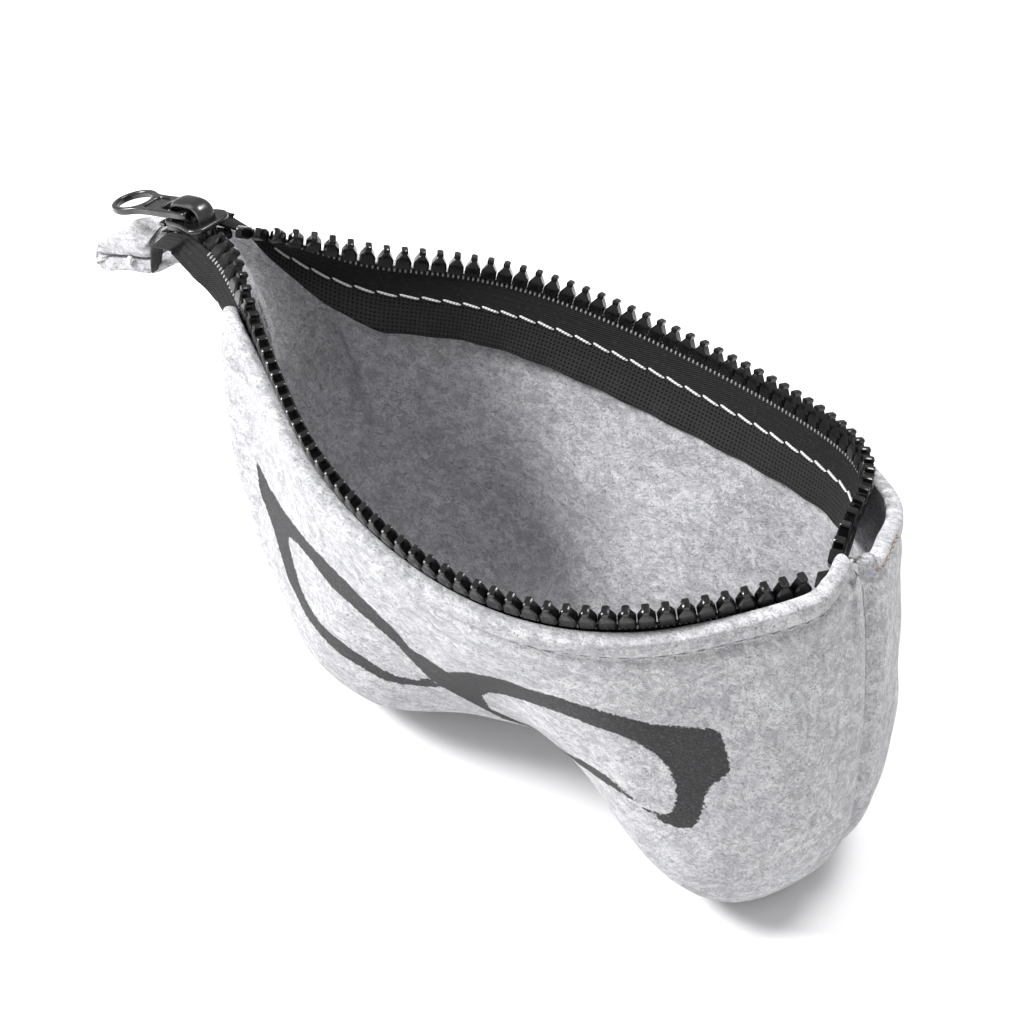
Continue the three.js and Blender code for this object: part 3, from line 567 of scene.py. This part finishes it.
def insideBy(points, corners):
    # distance to the nearest side of the outline, more than none inside it (even-odd crossings)
    a = np.array(corners, float)
    b = np.roll(a, -1, axis=0)
    edge, away = b - a, points[..., None, :] - a
    share = np.clip(np.sum(away * edge, axis=-1) / np.sum(edge * edge, axis=-1), 0, 1)
    distance = np.linalg.norm(away - share[..., None] * edge, axis=-1).min(axis=-1)
    x, y = points[..., None, 0], points[..., None, 1]
    across = (a[:, 1] > y) != (b[:, 1] > y)
    rise = np.where(edge[:, 1] == 0, 1e-9, edge[:, 1])
    hits = across & (x < a[:, 0] + (y - a[:, 1]) * edge[:, 0] / rise)
    return np.where(hits.sum(axis=-1) % 2 == 1, distance, -distance)


def printInside(outer):
    flat = outer[..., [0, 2]]
    holes = np.maximum(*(insideBy(flat, lens) for lens in printLenses))
    return np.minimum(insideBy(flat, printOutline), -holes)


panels = {}
for side, name in ((-1, "front"), (1, "back")):
    middle, outer, inner, fromRim = panelSurfaces(side)
    panels[side] = dict(middle=middle, outer=outer, inner=inner, fromRim=fromRim)
    ring, faces = closedSheet(outer, inner)
    ink = np.full(ring.shape[:2], -9.0)
    if side < 0:
        ink[:, :outer.shape[1]] = printInside(outer)
    values = dict(printInside=np.clip(ink, -9, 9))
    material = inkedFelt if side < 0 else lightFelt
    makeMesh(name + "Felt", ring, faces, "pouch", "felt", material,
             values=values, replaces=(name + "_panel",))
print("pouch: felt panels made")

# Zip tapes, with the ladder of cord loops at the teeth's feet
tape = dict(
    half=0.3, start=1.35, bend=(6.0, 9.0), stitchAt=7.8,
    columns=44, perTooth=4, wavy=0.18, curl=0.3, tick=1.05,
    # X and drop behind the row
    lead=[(-12.2, -12.0), (-11.6, -10.4), (-10.8, -7.6), (-9.6, -4.2),
          (-7.6, -2.0), (-4.5, -0.9), (-1, -0.19)],
    # lengths along the row, and the tape's width there
    reach={-1: ([-14, -11, -8, 0, 14, 24, 36], [2.6, 4.6, 6.4, 7.4, 7.6, 10, 16.6]),
           1: ([-14, -11, -8, 0, 14, 24, 36], [2.6, 4.6, 6.4, 8, 11, 13.5, 16.6])},
)


def tapeSpine(side):
    # row frames with a straight lead through the slider, and how far along each one is
    tooth = np.arange(0, zipRow["lastTooth"][side] + 1.7, 1 / tape["perTooth"])
    at = frameAt(rows[side], tooth)
    count = 25
    path = throughRows(tape["lead"], np.linspace(0, len(tape["lead"]) - 1, count))
    lead = path[:, 0]
    at = {key: np.vstack([np.repeat(value[:1], count, axis=0), value]) for key, value in at.items()}
    at["point"][:count] += np.c_[lead, 0 * lead, path[:, 1]]
    slant = unit(np.gradient(path, axis=0))
    at["ahead"][:count] = np.c_[slant[:, 0], 0 * lead, slant[:, 1]]
    at["upper"][:count] = [0, -side, 0]
    at["along"] = np.r_[lead, tooth * zipRow["pitch"]]
    at["tooth"] = np.r_[lead / zipRow["pitch"], tooth]
    return at


def tapeAt(at, side, across):
    # centre of the cloth at each distance below the cord: the sum of 0.1 mm steps along a way
    # down that turns from the upper strip's to the lower's
    fine = np.linspace(0, 18, 181)
    share = smooth(fine, *tape["bend"])[None, :, None]
    way = unit(at["upper"][:, None] * (1 - share) + at["lower"][:, None] * share)
    steps = (way[:, 1:] + way[:, :-1]) / 2 * 0.1
    below = np.concatenate([np.zeros((len(way), 1, 3)), np.cumsum(steps, axis=1)], axis=1)
    k = across / 0.1
    i = np.clip(k.astype(int), 0, 179)
    f = (k - i)[..., None]
    row = np.arange(len(way))[:, None]
    down = below[row, i] * (1 - f) + below[row, i + 1] * f
    out = unit(np.cross(way[row, i], at["ahead"][:, None]) * side)
    return at["point"][:, None] - down, out


def ripple(along, side):
    # three sines of the length along the row, 11.3, 5.1 and 88 mm long
    a = along * 2 * np.pi
    return 0.5 * np.sin(a / 11.3 + side) + 0.15 * np.sin(a / 5.1 + 2 * side) + np.sin(along / 14 + 1)


for side, name in ((-1, "front"), (1, "back")):
    at = tapeSpine(side)
    reach = np.interp(at["along"], *tape["reach"][side]) + tape["wavy"] * ripple(at["along"], side)
    across = tape["start"] + np.linspace(0, 1, tape["columns"])[None, :] * (reach - tape["start"])[:, None]
    centre, out = tapeAt(at, side, across)
    lift = tape["curl"] * (ripple(at["along"] + 2, side) + 0.9)[:, None]
    lift = lift * smooth(across, reach[:, None] - 6, reach[:, None])
    centre = centre - out * lift[..., None]
    share = np.linspace(0, 1, tape["columns"])
    edge = cutEdge(share * 14, 0.3) * cutEdge((1 - share) * 14, 0.3)
    half = tape["half"] * np.maximum(edge, 0.25)[None, :, None]
    rib = 0.06 * np.sin(np.clip(across - 1.5, 0, 4.8) * 2 * np.pi / 1.2)[..., None]
    ring, faces = closedSheet(centre + out * (half + rib), centre - out * (half - rib))
    flat = np.stack(np.broadcast_arrays(at["along"][:, None], across), axis=-1)
    uv = np.concatenate([flat, flat[:, ::-1]], axis=1)
    makeMesh(name + "Tape", ring, faces, "pouch", "tape", blackTape, uv=uv, replaces=(name + "_tape",))

    along = np.arange(7, (zipRow["lastTooth"][side] + 1) * zipRow["pitch"], tape["tick"])
    tickAt = frameAt(rows[side], along / zipRow["pitch"])
    ends = np.broadcast_to(np.array([[1.25, 1.5, 2.1, 2.35]]), (len(along), 4))
    foot, footOut = tapeAt(tickAt, side, ends)
    paths = np.concatenate([foot + footOut * s * (tape["half"] + 0.04) for s in (-1, 1)])
    over = np.repeat(footOut[:, :1], 2, axis=0)
    points, faces, uv = threadTubes(paths, 0.24, 6, over=over)
    makeMesh(name + "CordLoops", points, faces, "pouch", "grey_thread", paleThread, uv=uv)
print("pouch: tapes made")

# Thread
stitch = dict(pitch=4.3, length=4.0, radius=0.27, slant=0.28)


def rowStitches(side, first, last):
    # dashes of thread along the tape's fold, on the inside: each dips into the cloth at both ends
    begin = np.arange(first, last, stitch["pitch"])
    along = begin[:, None] + np.linspace(0, stitch["length"], 12)[None, :]
    at = frameAt(rows[side], along.ravel() / zipRow["pitch"])
    slanted = tape["stitchAt"] + stitch["slant"] * np.broadcast_to(np.linspace(-1, 1, 12), along.shape)
    centre, out = tapeAt(at, side, slanted.reshape(-1, 1))
    dip = np.broadcast_to(np.sin(np.linspace(0, np.pi, 12)) ** 0.5, along.shape).ravel()[:, None]
    lift = tape["half"] + stitch["radius"] * (0.2 + 0.75 * dip)
    path = centre[:, 0] - out[:, 0] * lift
    return path.reshape(along.shape + (3,)), out[:, 0].reshape(along.shape + (3,))


for side, name, first in ((-1, "front", 15), (1, "back", 12)):
    paths, over = rowStitches(side, first, (zipRow["lastTooth"][side] - 2) * zipRow["pitch"])
    points, faces, uv = threadTubes(paths, stitch["radius"], 8, over=over)
    makeMesh(name + "TapeStitch", points, faces, "pouch", "white_thread", whiteThread,
             uv=uv, replaces=(name + "_tape_stitch",))


def grooveStitches(side):
    # thin dashes at the bottom of the sewn groove outside the felt
    fromRim, outer = panels[side]["fromRim"], panels[side]["outer"]
    column = np.argmin(np.abs(fromRim - felt["grooveDown"]), axis=1)
    line = outer[np.arange(len(outer)), column]
    reach = np.r_[0, np.cumsum(np.linalg.norm(np.diff(line, axis=0), axis=1))]
    begin = np.arange(reach[100], reach[-8], 3.4)
    along = begin[:, None] + np.linspace(0, 2.9, 8)[None, :]
    fine = np.stack([np.interp(along, reach, line[:, c]) for c in range(3)], axis=-1)
    normal = unit(np.gradient(fine, axis=1)[..., [1, 0, 2]] * [1, -1, 0]) * side
    dip = np.sin(np.linspace(0, np.pi, 8))[None, :, None]
    facing = np.sign(normal[..., 1:2] * side)
    return fine + normal * (0.32 * dip - 0.12) * facing, normal


for side, name in ((-1, "front"), (1, "back")):
    paths, over = grooveStitches(side)
    points, faces, uv = threadTubes(paths, 0.18, 6, over=over)
    makeMesh(name + "FeltStitch", points, faces, "pouch", "grey_thread", feltThread,
             uv=uv, replaces=(name + "_felt_stitch",))
print("pouch: stitches made")

# Moulded teeth
# height above the cord, half width along the row, half thickness
toothProfile = np.array([
    [-1.3, 1.35, 0.85], [-1.1, 1.6, 1.15], [0.3, 1.62, 1.25], [0.7, 1.5, 1.25], [1.9, 0.72, 1.1],
    [2.15, 0.56, 1.0], [2.4, 0.66, 1.05], [2.75, 0.72, 1.08], [3.05, 0.64, 1.0], [3.2, 0.4, 0.75],
])
stopProfile = np.array([[-1.3, 1.3, 0.9], [-1.1, 1.5, 1.2], [1.9, 1.5, 1.2], [2.2, 1.3, 0.95]])


def mouldedBlocks(side, tooth, profile):
    # chamfered oblong rings stacked up from the cord; width runs along the row and thickness
    # through the cloth
    at = {key: value[:, None, None] for key, value in frameAt(rows[side], tooth).items()}
    h, a, b = (profile[None, :, k, None] for k in range(3))
    c = 0.32 * np.minimum(a, b)
    width = np.concatenate([a, a - c, c - a, -a, -a, c - a, a - c, a], axis=2)[..., None]
    thick = np.concatenate([b - c, b, b, b - c, c - b, -b, -b, c - b], axis=2)[..., None]
    return ringTubes(at["point"] + at["ahead"] * width + at["out"] * thick + at["upper"] * h[..., None])


for side, name, first in ((-1, "front", 1.5), (1, "back", 2.0)):
    tooth = np.arange(first, zipRow["lastTooth"][side] + 0.3)
    points, faces = mouldedBlocks(side, tooth, toothProfile)
    makeMesh(name + "Teeth", points, faces, "pouch", "teeth", blackPlastic,
             replaces=(name + "_teeth",), sharp=32)
    last = np.array([zipRow["lastTooth"][side] + 0.9])
    points, faces = mouldedBlocks(side, last, stopProfile)
    makeMesh(name + "TopStop", points, faces, "pouch", "teeth", blackPlastic,
             replaces=(name + "_top_stop",), sharp=32)
print("pouch: teeth made")

# Slider, in its own frame: mouth to +X, closed side to -X, teeth in the plane z = 0
slider = dict(
    length=12, width=10.4, nose=3.4, channel=1.62, plate=1.1,
    crownHalf=2.1, crownHeight=4.1, crownWall=1.0,
)
rear = slider["nose"] - slider["length"]
plateTop = slider["channel"] + slider["plate"]


def fromSlider(p):
    # turned nose up by the slider's pitch, then set beside the zip's middle
    x, y, z = p[..., 0], p[..., 1], p[..., 2]
    turned = [x * sliderCos - z * sliderSin, y + zipRow["sway"], x * sliderSin + z * sliderCos]
    return np.stack(turned, axis=-1)


def closedCurve(points, count):
    # smooth loop through the points
    p = np.asarray(points, float)
    wrapped = np.vstack([p[-2:], p, p[:3]])
    return throughRows(wrapped, 2 + np.arange(count) / count * len(p))


def platePart(outline, profile):
    # stacked copies of an outline, each drawn in by the profile's first number and set at its second
    away = outline / np.linalg.norm(outline, axis=1, keepdims=True)
    rings = [np.c_[outline - away * inset, np.full(len(outline), z)] for inset, z in profile]
    return ringTubes(np.array(rings)[None])


def strap(path, across, profile):
    # profile (across, over) swept along a path in the slider's XZ plane
    ahead = unit(np.gradient(path, axis=0))
    over = np.cross(ahead, across)
    rings = path[:, None] + across * profile[None, :, :1] + over[:, None] * profile[None, :, 1:]
    return ringTubes(rings[None])


def joined(*parts):
    points = np.vstack([p for p, _ in parts])
    starts = np.cumsum([0] + [len(p) for p, _ in parts[:-1]])
    return points, np.vstack([f + start for (_, f), start in zip(parts, starts)])


def outward(part):
    return part[0], facesOutward(part[0] - part[0].mean(axis=0), part[1])


def oblong(x0, x1, y0, y1, z0, z1, soft=0.15):
    # box with its long edges eased
    ring = np.array([[y0, z0 + soft], [y0, z1 - soft], [y0 + soft, z1], [y1 - soft, z1],
                     [y1, z1 - soft], [y1, z0 + soft], [y1 - soft, z0], [y0 + soft, z0]])
    middle = ring.mean(axis=0)
    stations = [(x0, 0.9), (x0 + soft, 1.0), (x1 - soft, 1.0), (x1, 0.9)]
    rings = np.array([np.c_[np.full(8, x), middle + (ring - middle) * k] for x, k in stations])
    return outward(ringTubes(rings[None]))


rearHalf, noseHalf = slider["width"] * 0.37, slider["width"] / 2
nose = slider["nose"]
flank = [(rear + 0.1, -rearHalf + 1.5), (rear + 1.2, -rearHalf + 0.1),
         (rear + 3.2, -rearHalf - 0.15), (rear + 6, -rearHalf - 0.5),
         (nose - 3.4, -noseHalf + 0.1), (nose - 2, -noseHalf + 0.05),
         (nose - 0.6, -noseHalf + 0.9), (nose + 0.05, -noseHalf + 2.6)]
sliderOutline = closedCurve(flank + [(x, -y) for x, y in flank[::-1]], 72)
easedTop = [(0.55, plateTop), (0.22, plateTop - 0.07), (0.06, plateTop - 0.22),
            (0, plateTop - 0.45), (0, slider["channel"] + 0.2), (0.15, slider["channel"])]
topPlate = outward(platePart(sliderOutline, easedTop))
bottomPlate = topPlate[0] * [1, 1, -1], topPlate[1][:, ::-1]
postOutline = closedCurve(
    [(-1.9, 0), (-0.4, -0.95), (1.2, -0.8), (1.6, 0), (1.2, 0.8), (-0.4, 0.95)], 24)
post = outward(platePart(postOutline, [(0, -1.9), (0, 1.9)]))
post = post[0] + [nose - 2, 0, 0], post[1]
lips = []
for s in (-1, 1):
    low, high = sorted((s * rearHalf, s * (rearHalf - 0.75)))
    lips.append(oblong(rear + 1.2, rear + 6.8, low, high, 0.62, 1.8))
    lips.append(oblong(rear + 1.2, rear + 6.8, low, high, -1.8, -0.62))
points, faces = joined(topPlate, bottomPlate, post, *lips)
makeMesh("sliderBody", fromSlider(points), faces, "slider", "gunmetal", blackNickel,
         replaces=("slider_body",), sharp=40)

# The crown is a strap of one thickness along a squared-off half ellipse
crownEnds = (rear + 0.7, nose - 1.5)
crownMiddle = sum(crownEnds) / 2
crownReach = (crownEnds[1] - crownEnds[0]) / 2 - slider["crownWall"] / 2
turn = np.linspace(np.pi, 0, 41)
bend = np.sign(np.cos(turn)) * np.abs(np.cos(turn)) ** 0.72
rise = np.abs(np.sin(turn)) ** 0.62
crownRise = (slider["crownHeight"] - slider["crownWall"] / 2) * rise
crownPath = np.c_[crownMiddle + crownReach * bend, np.zeros(41), plateTop - 0.1 + crownRise]
side = np.linspace(-1, 1, 9)
domed = 1.25 - 0.75 * side ** 4 - 0.25 * side ** 2
dome = np.c_[side * slider["crownHalf"], slider["crownWall"] / 2 * domed]
belly = np.c_[side[::-1] * slider["crownHalf"], np.full(9, -slider["crownWall"] / 2)]
belly[[0, -1], 1] += 0.1
crownPart = outward(strap(crownPath, np.array([0.0, 1.0, 0.0]), np.vstack([dome, belly])))
makeMesh("sliderCrown", fromSlider(crownPart[0]), crownPart[1], "slider", "gunmetal",
         blackNickel, replaces=("slider_crown",), sharp=50)
spring = oblong(rear + 2.9, nose - 6.8, -1.2, 1.2, plateTop + 0.3, plateTop + 0.75, 0.1)
makeMesh("lockSpring", fromSlider(spring[0]), spring[1], "slider", "steel", springSteel,
         replaces=("lock_spring",), sharp=40)
stopX = rear - 1.2
clipBoxes = ((-3.2, 3.2, 0.65, 1.4), (-0.5, 0.5, -1.2, 1.2), (-3.2, 3.2, -1.4, -0.65))
clip = joined(*[oblong(stopX - 0.9, stopX + 0.9, *box) for box in clipBoxes])
makeMesh("bottomStop", fromSlider(clip[0]), clip[1], "pouch", "gunmetal", blackNickel,
         replaces=("bottom_stop",), sharp=40)

# Pull: bar at its own origin, tab to -X
pull = dict(
    length=23.9, web=3.5, ring=4.8, thick=1.5, ease=0.32, holeLong=8.0, holeWide=7.4,
    droop=math.radians(5), bar=(-2.1, 1.35),            # bar: X, and Z above the crown's foot
)


def ellipse(x, a, b, count=48):
    turn = np.linspace(0, -2 * np.pi, count, endpoint=False)
    return np.c_[x + a * np.cos(turn), b * np.sin(turn)]


def softOblong(x0, x1, half, power=5, count=40):
    # rounded oblong: a squared-off ellipse
    turn = np.linspace(0, -2 * np.pi, count, endpoint=False)
    c, s = np.cos(turn), np.sin(turn)
    x = (x1 - x0) / 2 * np.sign(c) * np.abs(c) ** (2 / power)
    return np.c_[(x0 + x1) / 2 + x, half * np.sign(s) * np.abs(s) ** (2 / power)]


def filledPlate(name, outlines, halfThick, ease):
    # flat outlines filled between, thickened and eased at their edges, as a mesh in millimetres
    curve = bpy.data.curves.new(name, "CURVE")
    curve.dimensions, curve.fill_mode = "2D", "BOTH"
    curve.extrude, curve.offset = halfThick - ease, -ease
    curve.bevel_depth, curve.bevel_resolution = ease, 3
    for outline in outlines:
        spline = curve.splines.new("POLY")
        spline.points.add(len(outline) - 1)
        spline.points.foreach_set("co", np.c_[outline, np.zeros(len(outline)), np.ones(len(outline))].ravel())
        spline.use_cyclic_u = True
    holder = bpy.data.objects.new(name, curve)
    bpy.context.collection.objects.link(holder)
    depsgraph = bpy.context.evaluated_depsgraph_get()
    mesh = bpy.data.meshes.new_from_object(holder.evaluated_get(depsgraph))
    bpy.data.objects.remove(holder)
    bpy.data.curves.remove(curve)
    return mesh


ringMiddle = -pull["length"] + pull["holeLong"] / 2 + pull["ring"] - pull["holeWide"] / 2
upperSide = [(0.75, 0), (0.7, 2.4), (0.1, pull["web"]), (-4, pull["web"]), (-9, pull["web"]),
             (ringMiddle + 6.6, pull["web"]), (ringMiddle + 4, 3.75),
             (ringMiddle + 1.6, pull["ring"] - 0.15), (ringMiddle - 0.6, pull["ring"]),
             (ringMiddle - 3.1, 3.9), (-pull["length"] + 0.55, 2.1), (-pull["length"], 0)]
pullOutline = closedCurve(upperSide + [(x, -y) for x, y in upperSide[-2:0:-1]], 132)[::-1]
window = softOblong(-8, -0.9, 2.45)
hole = ellipse(ringMiddle, pull["holeLong"] / 2, pull["holeWide"] / 2)
recess = softOblong(ringMiddle + 5.3, -9.1, 2.45)


def wound(outline, way):
    # the outline, turned so that twice its area by the shoelace sum has the wanted sign
    after = np.roll(outline, -1, axis=0)
    area = np.sum(outline[:, 0] * after[:, 1] - after[:, 0] * outline[:, 1])
    return outline if area * way > 0 else outline[::-1]


pullOutline = wound(pullOutline, 1)
holes = [wound(h, -1) for h in (window, hole, recess)]
crownBase = plateTop + 0.3


def placePull(mesh, name):
    # hung from its bar: turned down by the droop, then with the slider
    flat = np.empty(len(mesh.vertices) * 3)
    mesh.vertices.foreach_get("co", flat)
    p = flat.reshape(-1, 3)
    c, s = math.cos(pull["droop"]), math.sin(pull["droop"])
    turned = np.c_[p[:, 0] * c - p[:, 2] * s, p[:, 1], p[:, 0] * s + p[:, 2] * c]
    turned = turned + [pull["bar"][0], 0, crownBase + pull["bar"][1]]
    mesh.vertices.foreach_set("co", ((fromSlider(turned) + zipStart) / 1000).ravel())
    mesh.update()
    mesh.polygons.foreach_set("use_smooth", np.ones(len(mesh.polygons), bool))
    mesh.set_sharp_from_angle(angle=math.radians(45))
    mesh.materials.clear()
    mesh.materials.append(blackNickel)
    obj = bpy.data.objects.new(name, mesh)
    bpy.context.collection.objects.link(obj)
    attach(obj, "pull")
    return obj


tabMesh = filledPlate("pullTab", [pullOutline] + holes, pull["thick"] / 2, pull["ease"])
tab = placePull(tabMesh, "pullTab")
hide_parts("pull_tab")
recessFloor = [softOblong(ringMiddle + 4.7, -8.5, 3.0)]
placePull(filledPlate("pullRecess", recessFloor, 0.35, 0.05), "pullRecess")
print("pouch: slider and pull made")

# Tacks and the inside seam's thread
tack = dict(at=(-18.0, -10.9, -11.7), tall=2.8, threads=2, apart=0.5, bulge=0.5)
t = np.linspace(-1, 1, 16)
offset = (np.arange(tack["threads"]) - (tack["threads"] - 1) / 2)[:, None] * tack["apart"]
x, y, z = tack["at"]
way = [x + offset + 0.25 * t, y - tack["bulge"] * (1 - t ** 2), z + t * tack["tall"] / 2]
paths = np.stack(np.broadcast_arrays(*way), axis=-1)
points, faces, uv = threadTubes(paths, 0.36, 8, over=np.array([1.0, 0, 0]))
makeMesh("earTack", points, faces, "pouch", "white_thread", whiteThread,
         uv=uv, replaces=("ear_tack",))


def panelStitches(side, column0, column1, down, pitch, length):
    # dashes over the felt's outside, a fixed way below its cut edge
    fromRim, outer = panels[side]["fromRim"], panels[side]["outer"]
    column = np.argmin(np.abs(fromRim - down), axis=1)
    line = outer[np.arange(len(outer)), column]
    out = unit(line - panels[side]["middle"][np.arange(len(outer)), column])
    reach = np.r_[0, np.cumsum(np.linalg.norm(np.diff(line, axis=0), axis=1))]
    begin = np.arange(reach[column0], reach[column1] - length, pitch)
    along = begin[:, None] + np.linspace(0, length, 8)[None, :]
    at = np.stack([np.interp(along, reach, line[:, c]) for c in range(3)], axis=-1)
    way = unit(np.stack([np.interp(along, reach, out[:, c]) for c in range(3)], axis=-1))
    return at + way * (0.45 * np.sin(np.linspace(0, np.pi, 8))[None, :, None] - 0.12), way


paths, over = panelStitches(1, -34, -3, 0.9, 1.5, 1.2)
points, faces, uv = threadTubes(paths, 0.22, 8, over=over)
makeMesh("cornerTack", points, faces, "pouch", "grey_thread", tanThread,
         uv=uv, replaces=("corner_tack",))

place = np.linspace(0.13, 0.99, 2000)
line = readAt(seamCurve, place)[:, :3]
ahead = unit(np.gradient(line, axis=0))
line = line + np.c_[-ahead[:, 2], 0 * ahead[:, 0], ahead[:, 0]] * (felt["thickness"] / 2 + 1.2)
reach = np.r_[0, np.cumsum(np.linalg.norm(np.diff(line, axis=0), axis=1))]
along = np.arange(0, reach[-1] - 3, 3.6)[:, None] + np.linspace(0, 3.1, 8)[None, :]
paths = np.stack([np.interp(along, reach, line[:, c]) for c in range(3)], axis=-1)
points, faces, uv = threadTubes(paths, 0.3, 6, over=np.array([0, 1.0, 0]))
makeMesh("seamThread", points, faces, "pouch", "grey_thread", paleThread,
         uv=uv, replaces=("seam_thread",))
print("pouch: tacks and seam made")

# Each soft piece of the pouch gets a mesh of its own
for piece in softPieces:
    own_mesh(piece)

# Floor, light and camera
floorMesh = bpy.data.meshes.new("floor")
floorMesh.from_pydata([(-4, -4, 0), (4, -4, 0), (4, 4, 0), (-4, 4, 0)], [], [(0, 1, 2, 3)])
floor = bpy.data.objects.new("floor", floorMesh)
bpy.context.collection.objects.link(floor)
pale = Nodes("paleFloor")
pale.feed(pale.shader, {"Base Color": (0.93, 0.93, 0.935, 1), "Roughness": 0.75, "Specular IOR Level": 0.2})
floorMesh.materials.append(pale.material)

scene = bpy.context.scene
world = bpy.data.worlds.new("studio")
world.use_nodes = True
world.node_tree.nodes["Background"].inputs["Color"].default_value = (1, 1, 1, 1)
world.node_tree.nodes["Background"].inputs["Strength"].default_value = 0.52
scene.world = world


def softLight(name, place, aim, size, power):
    lamp = bpy.data.lights.new(name, "AREA")
    lamp.shape, lamp.size, lamp.energy = "SQUARE", size, power
    obj = bpy.data.objects.new(name, lamp)
    obj.location = place
    obj.rotation_euler = (Vector(aim) - Vector(place)).to_track_quat("-Z", "Y").to_euler()
    bpy.context.collection.objects.link(obj)
    return obj


keyLight = softLight("keyLight", (-0.6, -0.45, 0.7), (0, 0, 0.05), 0.3, 14.0)
topLight = softLight("topLight", (0.15, 0.3, 0.85), (0, 0, 0.05), 0.3, 5.5)

view = dict(
    azimuth=math.radians(38.217), elevation=math.radians(40.869), lens=70.6,
    place=(264.14, -239.52, 224.93),             # millimetres from the zip's start
)
camera = bpy.data.objects.new("camera", bpy.data.cameras.new("camera"))
camera.data.lens, camera.data.sensor_width, camera.data.clip_start = view["lens"], 36, 0.01
a, e = view["azimuth"], view["elevation"]
right = Vector((math.cos(a), math.sin(a), 0))
back = Vector((math.sin(a) * math.cos(e), -math.cos(a) * math.cos(e), math.sin(e)))
turned = Matrix((right, back.cross(right), back)).transposed().to_4x4()
turned.translation = Vector((zipStart + np.array(view["place"])) / 1000)
camera.matrix_world = turned
bpy.context.collection.objects.link(camera)
scene.camera = camera
scene.view_settings.view_transform = "Standard"
